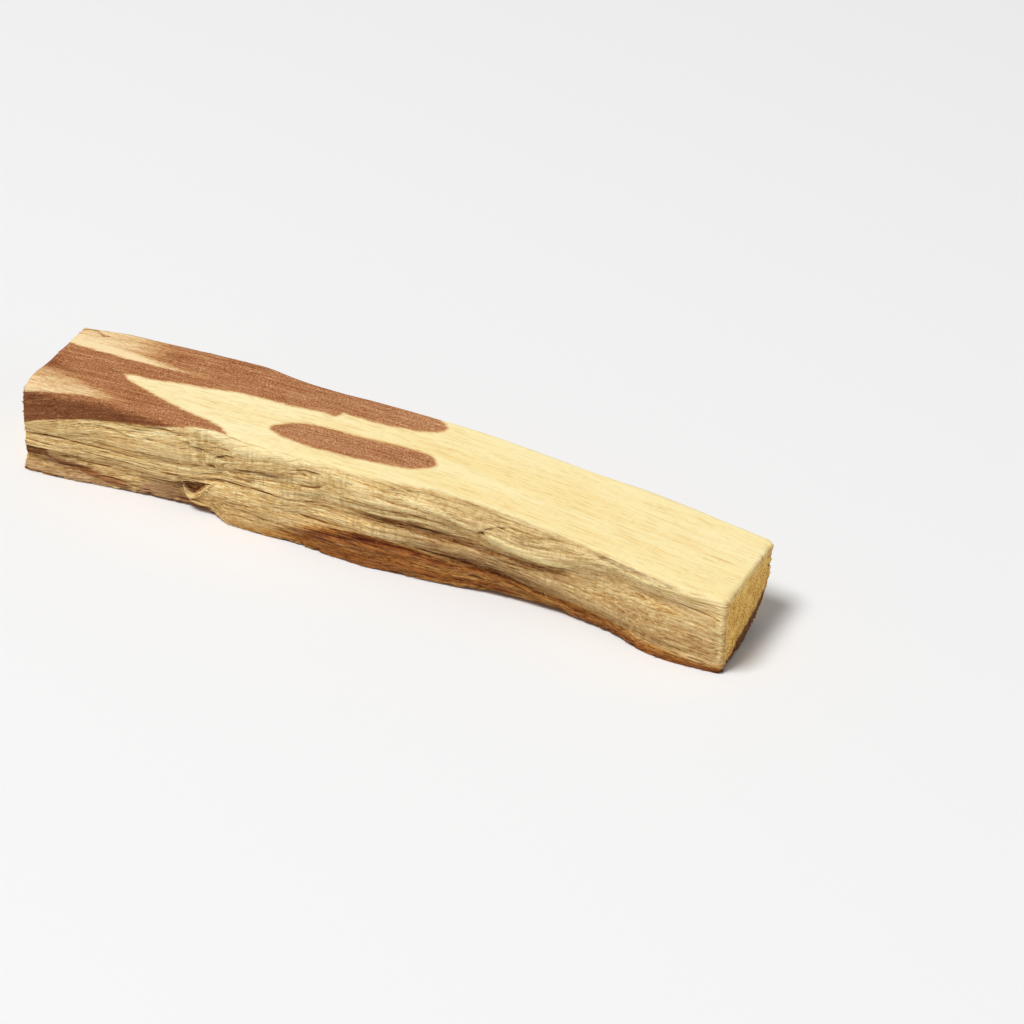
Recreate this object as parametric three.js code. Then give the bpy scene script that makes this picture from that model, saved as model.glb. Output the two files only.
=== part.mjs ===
// A palo santo stick: one piece of aromatic wood, sawn flat on top and underneath, split along
// its wavy grain at the front and back, and sawn off at both ends.
// Millimetres, +Z up. X runs along the stick, Y from the torn front face towards the back.
// The stick lies on its flat underside, and the origin is under the middle of its box.
import * as THREE from 'three';

// Driving dimensions
const LENGTH = 100;
const LEFT_HEIGHT = 14;
const RIGHT_HEIGHT = 11;

// Every list of pairs gives a value at places along the stick, measured from its left end.
// The grain bows the stick: both split faces stand further back in the middle than at the ends.
const ARRIS_DEPTH = [
  [0, -0.2], [2, -0.45], [7, 0.4], [12, 1.3], [21, 1.3], [28, 2.4], [32, 1.9], [37, 2.1],
  [44, 2.9], [50, 2.7], [57, 3.4], [66, 3.1], [74, 2.5], [82, 1.8], [88, 0.7], [94, 0], [100, 0.2],
];
const BACK_DEPTH = [
  [0, 14.6], [1.5, 15.4], [5, 16.4], [12, 17.2], [20, 18], [26, 18.5], [31, 17.9], [36, 17.8],
  [43, 18.3], [57, 18.6], [64, 18.2], [72, 17.5], [82, 16.9], [92, 15.7], [100, 14.6],
];
const FOOT_DEPTH = [
  [0, 0], [4, 0], [10, 0.7], [20, 1.2], [30, 0.7], [50, 0.3], [57, 0.6], [68, 1.3], [76, 1.5],
  [84, 0.8], [93, -0.6], [100, -0.1],
];
// Along some stretches the lowest fibres tore off, so the foot is set back and lifted there.
const FOOT_TEAR = [
  [5, 0], [12, 0.2], [20, 0.6], [24.5, 0.9], [28.5, 0.8], [29.5, 0], [36, 0.1], [40, 0.4],
  [44, 0.2], [50, 0], [55, 0.3], [62, 0.4], [69, 1.1], [74, 1.1], [80, 0.8], [86.5, 0.5], [88, 0],
];
const TEAR_LIFT = 0.6;
const TEAR_HEIGHT = 2.6;

// A bevel of torn wood joins the top to the front face. Its lower edge is the bright ridge.
const RIDGE_HEIGHT = [
  [0, 13.3], [20, 12.8], [28, 12.4], [36, 12.1], [44, 11.9], [50, 11.5], [56, 11.2], [61, 11],
  [65, 10.4], [66.4, 9.5], [69, 8.9], [73, 8.4], [77, 9], [81, 10.1], [84, 10.6], [100, 10.3],
];
const BEVEL_DEPTH = [
  [0, 0.25], [20, 0.3], [28, 0.5], [36, 0.9], [44, 1.2], [57, 1.5], [65, 1.3], [66.4, 1.6],
  [73, 1.4], [79, 1], [84, 0.5], [90, 0.3], [100, 0.2],
];
const BEVEL_BOW = 0.4;

// Valleys that the split left along the grain of the front face. Each follows its path of
// places and heights, is this deep, and rises again over the distances above and below it.
const VALLEY_RUN_OUT = 4;
const FRONT_VALLEYS = [
  {
    path: [[38, 6.8], [46, 6.8], [52, 7.4], [66, 7.8], [77, 8.2], [90, 8.2], [100, 7.3]],
    depth: 0.8,
    above: 1.5,
    below: 2,
  },
  {
    path: [[36, 5], [43, 4.2], [57, 4], [66, 4], [71, 3.7], [77, 2.8], [85, 2.1], [97, 1.4]],
    depth: 0.7,
    above: 0.9,
    below: 1,
  },
  {
    path: [[-2, 6], [8, 6.6], [18, 6.8], [24, 7.3], [30, 8], [36, 9], [42, 9.6]],
    depth: 0.45,
    above: 0.8,
    below: 1.5,
  },
  {
    path: [[18, 4.3], [27, 5.4], [30, 6.3], [38, 6.8]],
    depth: 0.4,
    above: 0.7,
    below: 1.1,
  },
  {
    path: [[-2, 2.6], [6, 3.5], [15, 3.8], [21, 3.5]],
    depth: 0.5,
    above: 0.6,
    below: 1.3,
  },
];

// Hollows where a flake tore out of the front face: place, height, half sizes and depth.
// Valleys and hollows fade out over a share of the face's height next to its edges.
const FADE_BELOW_RIDGE = 0.17;
const FADE_ABOVE_FOOT = 0.12;
const FADE_BELOW_BACK_EDGE = 0.2;
const FRONT_HOLLOWS = [
  { place: 24.2, height: 3.5, halfLength: 2.1, halfHeight: 1.2, depth: 0.9 },
  { place: 41.6, height: 11, halfLength: 2, halfHeight: 0.8, depth: 0.4 },
  { place: 68.5, height: 10.6, halfLength: 3.2, halfHeight: 0.9, depth: 0.5 },
  { place: 5, height: 1.8, halfLength: 5, halfHeight: 0.9, depth: 0.4 },
];

// The back face leans in a little downwards, and below it the split rounds in to the underside.
const ROUNDING_HEIGHT = [
  [0, 2.6], [15, 3], [30, 2.3], [45, 2.8], [60, 4], [75, 4.4], [88, 5.6], [100, 6.4],
];
const ROUNDING_REACH = [
  [0, 3.6], [20, 4.2], [40, 3.6], [60, 5], [80, 7], [100, 9.2],
];
const BACK_LEAN = 0.2;
const ROUNDING_BELLY = { inset: 0.8, height: 0.3 };
const BACK_VALLEYS = [
  {
    path: [[-2, 10.5], [18, 9.8], [34, 8.4], [52, 8], [66, 6.6]],
    depth: 0.7,
    above: 1.1,
    below: 1.8,
  },
  {
    path: [[30, 5.4], [45, 4.6], [63, 5.4], [82, 6], [102, 7.2]],
    depth: 0.55,
    above: 1.3,
    below: 1,
  },
  {
    path: [[58, 10.2], [72, 9.4], [88, 8.6], [102, 8.9]],
    depth: 0.4,
    above: 0.8,
    below: 1.2,
  },
];

// The saws cut the ends a little out of square: lean per millimetre of height and of depth.
const LEFT_END = { start: -1.2, perHeight: 0.095, perDepth: -0.02 };
const RIGHT_END = { start: -0.25, perHeight: 0.032, perDepth: 0.008 };

// The left end of the arris is bruised: it swells above the top and is rounded at the corner.
const SWELL = { height: 0.7, reach: 3, depth: 1.8, width: 2.1 };
const CORNER_ROUND = { cutBack: 1, reach: 1.4 };

// The foot of the front face meets the underside this far in front of where it lies flat.
const FOOT_INSET = 0.8;

// Mesh steps. Stretches with a step or hollow in them have closer sections.
const COARSE_STEP = 1.8;
const FINE_STEP = 0.9;
const FINE_STRETCHES = [[0, 2.7], [21.5, 30.5], [63, 70], [85, 89.5]];
const FRONT_ROWS = 19;
const BEVEL_ROWS = 4;
const TOP_ROWS = 8;
const BACK_ROWS = 11;
const ROUNDING_ROWS = 6;
const UNDERSIDE_ROWS = 5;

// A smooth curve through the pairs of a list. It never swings past them, and is level beyond
// its ends.
function along(pairs) {
  const last = pairs.length - 1;
  const steepness = (i) => (pairs[i + 1][1] - pairs[i][1]) / (pairs[i + 1][0] - pairs[i][0]);
  const slopeAt = (i) => {
    const before = steepness(Math.max(i - 1, 0));
    const after = steepness(Math.min(i, last - 1));
    return before * after > 0 ? (2 * before * after) / (before + after) : 0;
  };
  return (place) => {
    if (place <= pairs[0][0]) return pairs[0][1];
    if (place >= pairs[last][0]) return pairs[last][1];
    const i = pairs.findIndex((pair) => pair[0] > place) - 1;
    const span = pairs[i + 1][0] - pairs[i][0];
    const t = (place - pairs[i][0]) / span;
    const rise = pairs[i + 1][1] - pairs[i][1];
    const bend = (1 - t) * (slopeAt(i) * span - rise) - t * (slopeAt(i + 1) * span - rise);
    return pairs[i][1] + t * rise + t * (1 - t) * bend;
  };
}

const arrisDepth = along(ARRIS_DEPTH);
const backDepth = along(BACK_DEPTH);
const footDepth = along(FOOT_DEPTH);
const footTear = along(FOOT_TEAR);
const ridgeHeight = along(RIDGE_HEIGHT);
const bevelDepth = along(BEVEL_DEPTH);
const roundingHeight = along(ROUNDING_HEIGHT);
const roundingReach = along(ROUNDING_REACH);

const bell = (distance) => Math.exp(-distance * distance);

function topHeight(place, depth) {
  const plane = LEFT_HEIGHT + ((RIGHT_HEIGHT - LEFT_HEIGHT) * place) / LENGTH;
  const swell = SWELL.height * bell(place / SWELL.reach) * bell((depth - SWELL.depth) / SWELL.width);
  return plane + swell;
}

function valleys(list) {
  return list.map((valley) => ({
    ...valley,
    height: along(valley.path),
    from: valley.path[0][0],
    to: valley.path[valley.path.length - 1][0],
  }));
}

const frontValleys = valleys(FRONT_VALLEYS);
const backValleys = valleys(BACK_VALLEYS);

// How deep a face is cut by its valleys at a place and height. Each valley runs out at its ends.
function carved(list, place, height) {
  let cut = 0;
  for (const valley of list) {
    const runIn = THREE.MathUtils.smoothstep(place, valley.from, valley.from + VALLEY_RUN_OUT);
    const runOut = 1 - THREE.MathUtils.smoothstep(place, valley.to - VALLEY_RUN_OUT, valley.to);
    const offset = height - valley.height(place);
    const reach = offset > 0 ? valley.above : valley.below;
    cut += valley.depth * runIn * runOut * bell(offset / reach);
  }
  return cut;
}

function torn(place, height) {
  let cut = 0;
  for (const hollow of FRONT_HOLLOWS) {
    const acrossPlace = (place - hollow.place) / hollow.halfLength;
    const acrossHeight = (height - hollow.height) / hollow.halfHeight;
    cut += hollow.depth * bell(Math.hypot(acrossPlace, acrossHeight) ** 2);
  }
  return cut;
}

function frontDepth(place, height) {
  const ridge = arrisDepth(place) - bevelDepth(place);
  const share = height / ridgeHeight(place);
  const cut = carved(frontValleys, place, height) + torn(place, height);
  const clearOfEdges = Math.min(1, (1 - share) / FADE_BELOW_RIDGE, share / FADE_ABOVE_FOOT);
  const tear = footTear(place) * bell(height / TEAR_HEIGHT);
  return THREE.MathUtils.lerp(footDepth(place), ridge, share) + cut * clearOfEdges + tear;
}

// The outline of the stick across the grain, up the front, over the top and down the back.
function section(place) {
  const outline = [];
  const foot = TEAR_LIFT * footTear(place);
  const ridge = ridgeHeight(place);
  const arris = arrisDepth(place);
  for (let i = 0; i < FRONT_ROWS; i += 1) {
    const height = THREE.MathUtils.lerp(foot, ridge, i / FRONT_ROWS);
    outline.push([frontDepth(place, height), height]);
  }
  const ridgeDepth = arris - bevelDepth(place);
  const arrisHeight = topHeight(place, arris);
  for (let i = 0; i < BEVEL_ROWS; i += 1) {
    const t = i / BEVEL_ROWS;
    const depth = THREE.MathUtils.lerp(ridgeDepth, arris, t - BEVEL_BOW * t * (1 - t));
    outline.push([depth, THREE.MathUtils.lerp(ridge, arrisHeight, t)]);
  }
  const back = backDepth(place);
  for (let i = 0; i < TOP_ROWS; i += 1) {
    const depth = THREE.MathUtils.lerp(arris, back, i / TOP_ROWS);
    outline.push([depth, topHeight(place, depth)]);
  }
  const rounding = roundingHeight(place);
  const backTop = topHeight(place, back);
  for (let i = 0; i < BACK_ROWS; i += 1) {
    const share = i / BACK_ROWS;
    const height = THREE.MathUtils.lerp(backTop, rounding, share);
    const cut = carved(backValleys, place, height) * Math.min(1, share / FADE_BELOW_BACK_EDGE);
    outline.push([back - BACK_LEAN * share - cut, height]);
  }
  const roundingDepth = back - BACK_LEAN - carved(backValleys, place, rounding);
  const underBack = back - roundingReach(place);
  const lowerBack = new THREE.QuadraticBezierCurve(
    new THREE.Vector2(roundingDepth, rounding),
    new THREE.Vector2(roundingDepth - ROUNDING_BELLY.inset, rounding * ROUNDING_BELLY.height),
    new THREE.Vector2(underBack, 0),
  );
  for (let i = 0; i < ROUNDING_ROWS; i += 1) {
    const point = lowerBack.getPoint(i / ROUNDING_ROWS);
    outline.push([point.x, point.y]);
  }
  const underFront = footDepth(place) + footTear(place) + FOOT_INSET;
  for (let i = 0; i <= UNDERSIDE_ROWS; i += 1) {
    outline.push([THREE.MathUtils.lerp(underBack, underFront, i / UNDERSIDE_ROWS), 0]);
  }
  return outline;
}

function sectionPlaces() {
  const places = [];
  let place = 0;
  while (place < LENGTH - FINE_STEP / 2) {
    places.push(place);
    const here = place;
    const fine = FINE_STRETCHES.some(([from, to]) => here >= from && here < to);
    place += fine ? FINE_STEP : COARSE_STEP;
  }
  places.push(LENGTH);
  return places;
}

// Where a point of the outline lies along the stick, between the two leaning end cuts.
function placeBetweenEnds(place, depth, height) {
  const toCorner = Math.hypot(depth - arrisDepth(0), height - LEFT_HEIGHT);
  const rounding = CORNER_ROUND.cutBack * bell(toCorner / CORNER_ROUND.reach);
  const left = LEFT_END.start + LEFT_END.perHeight * height + LEFT_END.perDepth * depth + rounding;
  const right = LENGTH + RIGHT_END.start + RIGHT_END.perHeight * height + RIGHT_END.perDepth * depth;
  return THREE.MathUtils.lerp(left, right, place / LENGTH);
}

// The sawn face at one end. Its triangles turn outwards, towards -X at the left, +X at the right.
function endTriangles(outline, firstVertex, outwards) {
  const contour = outline.map(([depth, height]) => new THREE.Vector2(depth, height));
  return THREE.ShapeUtils.triangulateShape(contour, []).map((corners) => {
    const [a, b, c] = corners.map((corner) => contour[corner]);
    const turn = (b.x - a.x) * (c.y - a.y) - (c.x - a.x) * (b.y - a.y);
    const ordered = turn * outwards > 0 ? corners : [corners[0], corners[2], corners[1]];
    return ordered.map((corner) => corner + firstVertex);
  });
}

function stickGeometry() {
  const places = sectionPlaces();
  const outlines = places.map(section);
  const around = outlines[0].length;
  const positions = [];
  outlines.forEach((outline, i) => {
    for (const [depth, height] of outline) {
      positions.push(placeBetweenEnds(places[i], depth, height), depth, height);
    }
  });
  const triangles = [];
  for (let i = 0; i < places.length - 1; i += 1) {
    for (let j = 0; j < around; j += 1) {
      const here = i * around + j;
      const beside = i * around + ((j + 1) % around);
      triangles.push([here, here + around, beside + around]);
      triangles.push([here, beside + around, beside]);
    }
  }
  triangles.push(...endTriangles(outlines[0], 0, -1));
  triangles.push(...endTriangles(outlines.at(-1), (places.length - 1) * around, 1));
  const geometry = new THREE.BufferGeometry();
  geometry.setAttribute('position', new THREE.Float32BufferAttribute(positions, 3));
  geometry.setIndex(triangles.flat());
  return geometry;
}

// The stick, moved so that the origin is under the middle of its box.
const wood = new THREE.MeshStandardMaterial({ color: 0xd9b777, roughness: 0.75, metalness: 0 });
const stick = new THREE.Mesh(stickGeometry(), wood);
stick.name = 'stick';
stick.geometry.computeBoundingBox();
const middle = stick.geometry.boundingBox.getCenter(new THREE.Vector3());
stick.position.set(-middle.x, -middle.y, -stick.geometry.boundingBox.min.z);

const object = new THREE.Group();
object.add(stick);
export default object;
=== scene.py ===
# A palo santo stick: one piece of aromatic wood, sawn flat on top and underneath, split along
# its wavy grain at the front and back, and sawn off at both ends.
import math
from types import SimpleNamespace

import bpy
import numpy as np
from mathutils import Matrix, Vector
from mathutils.bvhtree import BVHTree
from mathutils.geometry import delaunay_2d_cdt


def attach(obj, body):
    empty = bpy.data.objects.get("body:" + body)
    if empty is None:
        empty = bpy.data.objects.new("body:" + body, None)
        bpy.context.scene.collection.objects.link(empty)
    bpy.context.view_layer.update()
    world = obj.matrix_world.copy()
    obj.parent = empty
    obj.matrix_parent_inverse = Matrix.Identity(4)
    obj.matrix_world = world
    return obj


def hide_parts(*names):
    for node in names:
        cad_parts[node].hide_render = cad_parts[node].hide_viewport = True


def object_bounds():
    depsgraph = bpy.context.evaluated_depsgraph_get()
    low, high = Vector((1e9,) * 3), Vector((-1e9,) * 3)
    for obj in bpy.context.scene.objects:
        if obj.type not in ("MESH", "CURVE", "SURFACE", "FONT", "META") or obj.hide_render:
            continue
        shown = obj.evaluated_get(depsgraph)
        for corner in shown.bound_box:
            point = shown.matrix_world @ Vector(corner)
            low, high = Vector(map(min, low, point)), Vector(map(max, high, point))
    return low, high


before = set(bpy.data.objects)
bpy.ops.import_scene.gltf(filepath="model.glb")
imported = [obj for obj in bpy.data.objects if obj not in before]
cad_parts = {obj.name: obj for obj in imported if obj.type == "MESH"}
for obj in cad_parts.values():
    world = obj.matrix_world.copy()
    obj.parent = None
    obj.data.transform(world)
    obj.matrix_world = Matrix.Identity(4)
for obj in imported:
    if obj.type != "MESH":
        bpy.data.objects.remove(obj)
cad_low, cad_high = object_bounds()

# Every size below is in millimetres. A place counts along the stick from its left end, a depth
# from the foot of the front face towards the back, and a height from the floor. The lowest
# corner of the frame's box lies a little outside the left end and the foot.
MM = 0.001
BOX_CORNER = np.array([-1.42, -0.70, 0.0])
BOX_MARGIN = 0.005
LENGTH = 100.0


def to_metres(points):
    return (np.asarray(points, float) - BOX_CORNER) * MM + np.array(cad_low)


def to_millimetres(points):
    return (np.asarray(points, float) - np.array(cad_low)) / MM + BOX_CORNER


box_low = to_millimetres(cad_low) + [BOX_MARGIN, BOX_MARGIN, 0.0]
box_high = to_millimetres(cad_high) - BOX_MARGIN


# Camera, light and floor

VIEW_TARGET = (68.1, 6.0, 10.7)
VIEW_DISTANCE = 450.0
VIEW_AZIMUTH = math.radians(26.37)
VIEW_ELEVATION = math.radians(35.0)
VIEW_LENS = 126.18
SENSOR_WIDTH = 36.0
# Lights and floor, in metres: each light's name, place, size and watts.
SOFTBOXES = [
    ("softbox_above", (-0.32, -0.52, 1.56), 0.55, 22.8),
    ("softbox_right", (0.70, -0.15, 0.35), 0.40, 0.5),
]
SKY_STRENGTH = 0.26
FLOOR_HALF = 3.0


def add_object(name, data):
    made = bpy.data.objects.new(name, data)
    bpy.context.scene.collection.objects.link(made)
    return made


def make_camera():
    camera = add_object("camera", bpy.data.cameras.new("camera"))
    level = math.cos(VIEW_ELEVATION)
    right, ahead, up = math.sin(VIEW_AZIMUTH), math.cos(VIEW_AZIMUTH), math.sin(VIEW_ELEVATION)
    back = Vector((right * level, -ahead * level, up))
    camera.location = Vector(to_metres(VIEW_TARGET)) + back * VIEW_DISTANCE * MM
    camera.rotation_euler = (-back).to_track_quat("-Z", "Y").to_euler()
    camera.data.sensor_width = SENSOR_WIDTH
    camera.data.lens = VIEW_LENS
    camera.data.clip_start = 0.01
    camera.data.clip_end = 20.0
    bpy.context.scene.camera = camera


def make_light():
    world = bpy.data.worlds.new("studio")
    world.use_nodes = True
    sky = world.node_tree.nodes["Background"]
    sky.inputs["Color"].default_value = (1.0, 1.0, 1.0, 1.0)
    sky.inputs["Strength"].default_value = SKY_STRENGTH
    bpy.context.scene.world = world
    bpy.context.scene.view_settings.view_transform = "Standard"
    for name, place, size, watts in SOFTBOXES:
        data = bpy.data.lights.new(name, "AREA")
        data.shape = "SQUARE"
        data.size = size
        data.energy = watts
        light = add_object(name, data)
        light.location = place
        light.rotation_euler = (-Vector(place)).to_track_quat("-Z", "Y").to_euler()


def make_floor():
    half = FLOOR_HALF
    mesh = bpy.data.meshes.new("floor")
    corners = [(-half, -half, 0), (half, -half, 0), (half, half, 0), (-half, half, 0)]
    mesh.from_pydata(corners, [], [(0, 1, 2, 3)])
    material = bpy.data.materials.new("pale_floor")
    material.use_nodes = True
    shader = material.node_tree.nodes["Principled BSDF"]
    shader.inputs["Base Color"].default_value = (0.88, 0.88, 0.88, 1.0)
    shader.inputs["Roughness"].default_value = 0.9
    mesh.materials.append(material)
    add_object("floor", mesh)


# Curves, windows and noise

def points(text):
    """The points that a text gives, as "x y, x y"."""
    return np.array([point.split() for point in text.split(",")], float)


def curve(x, y, at):
    """A smooth line through points, read at many places, and level beyond its ends."""
    steepness = np.diff(y) / np.diff(x)
    before, after = steepness[:-1], steepness[1:]
    same_way = before * after > 0
    inner = np.where(same_way, 2 * before * after / np.where(same_way, before + after, 1.0), 0.0)
    slopes = np.concatenate([steepness[:1], inner, steepness[-1:]])
    at = np.clip(at, x[0], x[-1])
    i = np.clip(np.searchsorted(x, at, side="right") - 1, 0, len(x) - 2)
    span = x[i + 1] - x[i]
    rise = y[i + 1] - y[i]
    t = (at - x[i]) / span
    bend = (1 - t) * (slopes[i] * span - rise) - t * (slopes[i + 1] * span - rise)
    return y[i] + t * rise + t * (1 - t) * bend


def along(line, places):
    """What a line of points gives at many places. A plain number stays as it is."""
    return curve(*points(line).T, places) if isinstance(line, str) else line


def smooth_step(low, high, value):
    t = np.clip((value - low) / (high - low), 0.0, 1.0)
    return t * t * (3 - 2 * t)


def window(place, start, end, taper):
    """1 between two places, and 0 beyond them, with a smooth taper inside each."""
    return smooth_step(start, start + taper, place) * (1 - smooth_step(end - taper, end, place))


def run(path, place, taper, share=1.0):
    """1 along a path and 0 beyond its ends, tapered over no more than a share of its length."""
    (start, _), (end, _) = points(path)[[0, -1]]
    return window(place, start, end, min(taper, share * (end - start)))


def bell(value):
    return np.exp(-value * value)


def flat_bell(value):
    return bell(value * value)


def corner_angle(i, j, seed):
    """A repeatable angle for each corner of a square lattice."""
    mixed = (i * 374761393 + j * 668265263 + seed * 974634777) & 0xFFFFFFFF
    mixed = ((mixed ^ (mixed >> 13)) * 1274126177) & 0xFFFFFFFF
    return ((mixed ^ (mixed >> 16)) & 0xFFFF) * (math.tau / 0x10000)


def noise(u, v, seed):
    """Smooth noise between about -1 and 1, with a new value about every unit of u and of v."""
    i = np.floor(u).astype(np.int64)
    j = np.floor(v).astype(np.int64)
    total = np.zeros(np.broadcast(u, v).shape)
    for di, dj in ((0, 0), (0, 1), (1, 0), (1, 1)):
        du = u - i - di
        dv = v - j - dj
        angle = corner_angle(i + di, j + dj, seed)
        weight = (1 - smooth_step(0, 1, np.abs(du))) * (1 - smooth_step(0, 1, np.abs(dv)))
        total += weight * (np.cos(angle) * du + np.sin(angle) * dv)
    return 1.7 * total


def line_noise(place, seed):
    """Noise that changes along the stick only."""
    return noise(place, place * 0, seed)


def furrows(place, across, width, length, seed):
    """Streaks with sharp valleys and round backs, from 0 on the backs to 1 in the valleys."""
    return 1 - np.minimum(1.0, 2.2 * np.abs(noise(place / length, across / width, seed)))


# The grain's course on the front: how far across the grain each line lies, and its points of
# place and height. Every text of points in this script reads like these.
GRAIN_LINES = [
    (0, "0 -1.5, 12 -0.6, 24 0.2, 40 0.4, 60 0.5, 76 -0.6, 100 -2"),
    (3, "0 2.6, 6 3.2, 15 3.7, 24 3.7, 34 4.4, 43 4.3, 57 4, 66 4.1, 74 3.2, 85 2.1, 100 1.3"),
    (5.5, "0 4.6, 15 4.9, 22 5, 30 6.4, 40 6.8, 49 7.2, 60 7.5, 77 8.2, 91 8.2, 100 7.2"),
    (8, "0 6.1, 18 6.8, 30 8, 40 9.5, 58 9.4, 66 9.3, 72 8.9, 78 9.6, 84 10.7, 100 10.1"),
    (12, "0 7.8, 11 10.7, 29 13.9, 45 16, 100 14"),
]


def across_front(place, height):
    """How far across the grain a point of the front face lies."""
    lines = [along(line, place) for _, line in GRAIN_LINES]
    across = np.minimum(height - lines[0], 0) + np.maximum(height - lines[-1], 0)
    for i in range(len(lines) - 1):
        share = np.clip((height - lines[i]) / (lines[i + 1] - lines[i]), 0, 1)
        across = across + share * (GRAIN_LINES[i + 1][0] - GRAIN_LINES[i][0])
    return across


# On the top the grain is bowed as the stick is, and drifts this far to the back.
TOP_BOW = "0 0, 20 1.8, 40 3, 52 3.2, 65 2.7, 80 1.3, 100 -1.2"


def across_top(place, depth):
    return depth - along(TOP_BOW, place)


def across_back(place, height):
    return height - 0.03 * place + 0.4 * np.sin(place / 13)


# Relief of the split faces

# Dark lines along the grain, with their width and depth. The broad, soft valleys come last.
CRACKS = [
    (0.12, 0.5, "-1 6.1, 1.4 6.3, 4.6 6.4, 8.2 6.1, 11 6.1"),
    (0.11, 0.4, "4 4.9, 6.9 5.1, 9.1 4.9, 14.1 4.7, 16.2 4.1"),
    (0.1, 0.3, "15.4 6.5, 17.7 6.4, 19.6 6.7"),
    (0.1, 0.3, "6.6 8, 7.8 7.9, 9.4 8.1"),
    (0.1, 0.35, "7.4 3.3, 9.7 3.2, 12 3.4"),
    (0.14, 0.45, "9.2 1.8, 12.4 1.6, 14.8 1.2, 17.6 0.8"),
    (0.13, 0.5, "3.9 3.2, 5.5 3.5, 6.5 3.4"),
    (0.13, 0.45, "25 5.3, 27.3 5.9, 30.5 6.2, 33.5 6.5, 39 6.5"),
    (0.1, 0.2, "35 12.9, 38.4 12.8, 41.6 12.6"),
    (0.15, 0.3, "46.9 8.2, 49.4 8.5, 53.3 8.8, 57.7 8.9, 63 8.6"),
    (0.16, 0.35, "37.5 4.6, 41.1 4.3, 43.4 4.1, 44.6 3.6"),
    (0.12, 0.35, "54.5 4.2, 60.6 4.1, 67.2 3.8"),
    (0.1, 0.4, "63 2.6, 65.4 2.4, 66.6 2"),
    (0.1, 0.3, "64 0.6, 66.1 0.7, 68.6 0.7"),
    (0.12, 0.35, "45.5 2, 48 2.1, 50 2.1"),
    (0.34, 0.22, "39.4 6.6, 42.8 6.5, 47.2 6.3, 50.4 6.8, 53.6 7, 57 6.8"),
    (0.34, 0.45,
     "42.5 2.9, 46.1 3.1, 51.7 3.6, 57.2 3.5, 62.6 3.2, 67 3.6, 71.1 3, 75.3 2.1, 79.5 1.5, 84 1.2"),
    (0.4, 0.35, "15.5 6.5, 20.7 6.7, 25.1 7, 27.3 7.1, 29.7 7.8, 33.6 9, 38 9.2"),
    (0.5, 0.3, "54 6.9, 62.7 6.7, 68.4 7.2, 74.2 7.8, 80.5 7.4, 88 7.3"),
]
CRACK_SHARE = 0.62

# Low smooth ridges along the grain: width, height, how much painted cream highlight they carry, and path.
RIDGES = [
    (0.4, 0.17, 0.75, "53 11.2, 57.2 11.1, 60.1 10.8, 61.5 10.5, 62.9 10, 65.3 9.6, 66 9.5"),
    (0.6, 0.1, 1, "65 9.4, 66.4 9.3, 68 9.2, 69.8 8.95, 71.5 8.75, 73.2 8.6, 75.2 8.5, 80 8.3"),
    (0.22, 0.14, 0.6, "49 7.8, 53.6 8, 57 8.3, 59.8 8.3, 63 8.2"),
    (0.3, 0.12, 0.7, "78 11, 84.4 10.8, 88.4 10.5, 92.6 10.7, 99 10.5"),
    (0.3, 0.12, 0.5, "46 9.4, 52 9.9, 58 9.8"),
    (0.16, 0.1, 1, "9.4 10.4, 11.4 10.1, 13.6 10.2, 14.7 9.6, 15.9 9.5, 18 9.8"),
    (0.16, 0.1, 1, "22 11.5, 23.6 11.1, 24.4 10.8, 25.2 10.1"),
    (0.2, 0.1, 1, "26.8 8.9, 28.6 9, 30.5 9.6"),
    (0.16, 0.1, 0.8, "40 11, 41.6 11.7, 43.9 11.5, 46.7 11.8, 49.5 11.8"),
    (0.3, 0.06, 0.7, "34 12.5, 38 12.5, 42 12.4"),
]

# Ledges where fibres tore away: the wood drops on this side of the path by a step, and rises
# back over the reach.
LEDGES = [
    (-1, 0.3, 0.7, "65.3 9.1, 66.1 9.9, 66.5 10.2, 67.3 10.5, 68.9 10.9, 70 11.1"),
    (-1, 0.35, 0.4, "54.7 11.3, 54.9 11.9, 55.2 12.1, 56.3 12.3, 58 12.3"),
    (-1, 0.35, 0.5, "27 8.3, 27.4 9.1, 28.2 9.7, 29.6 10.3, 31 10.4"),
    (-1, 0.3, 0.3, "28.2 8.5, 29.6 9.1, 31.4 9.4"),
    (1, 0.35, 0.6, "40.1 8.9, 41.1 8.8, 42.2 9.1, 43.4 9.7, 44.3 10.7"),
    (-1, 0.3, 0.4, "39.8 11.2, 41 11.5, 43.6 11.4"),
    (-1, 0.2, 0.6, "10 9.8, 12.2 9.8, 14.5 9.4, 18 9.5"),
    (-1, 0.3, 0.5, "17.6 11.7, 20.6 12, 22.8 11.9, 24.2 11.6"),
    (-1, 0.3, 0.45, "23.3 10.3, 25.4 10.1, 28 9.6"),
    (-1, 0.3, 0.5, "2.3 4.2, 4.6 4.2, 7 3.6, 9 3.3"),
    (-1, 0.3, 0.6, "-1.5 3.9, 0.5 3.8, 2.4 4.3"),
]
LEDGE_LIP = 0.05

# Small dark hollows, drawn out along the grain: place, height, radius and depth.
PITS = (
    "17.9 9.6 0.3 0.35, 23.7 10.7 0.3 0.4, 26.7 7.7 0.35 0.35, 40.7 10.7 0.25 0.3, 48.1 12.6 0.12 0.2, "
    "45.9 9.5 0.15 0.25, 64.6 11.7 0.2 0.25, 65.4 11 0.22 0.25, 65.9 9.4 0.3 0.4"
)
PIT_STRETCH = 1.8
PIT_SHARE = 0.7

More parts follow.
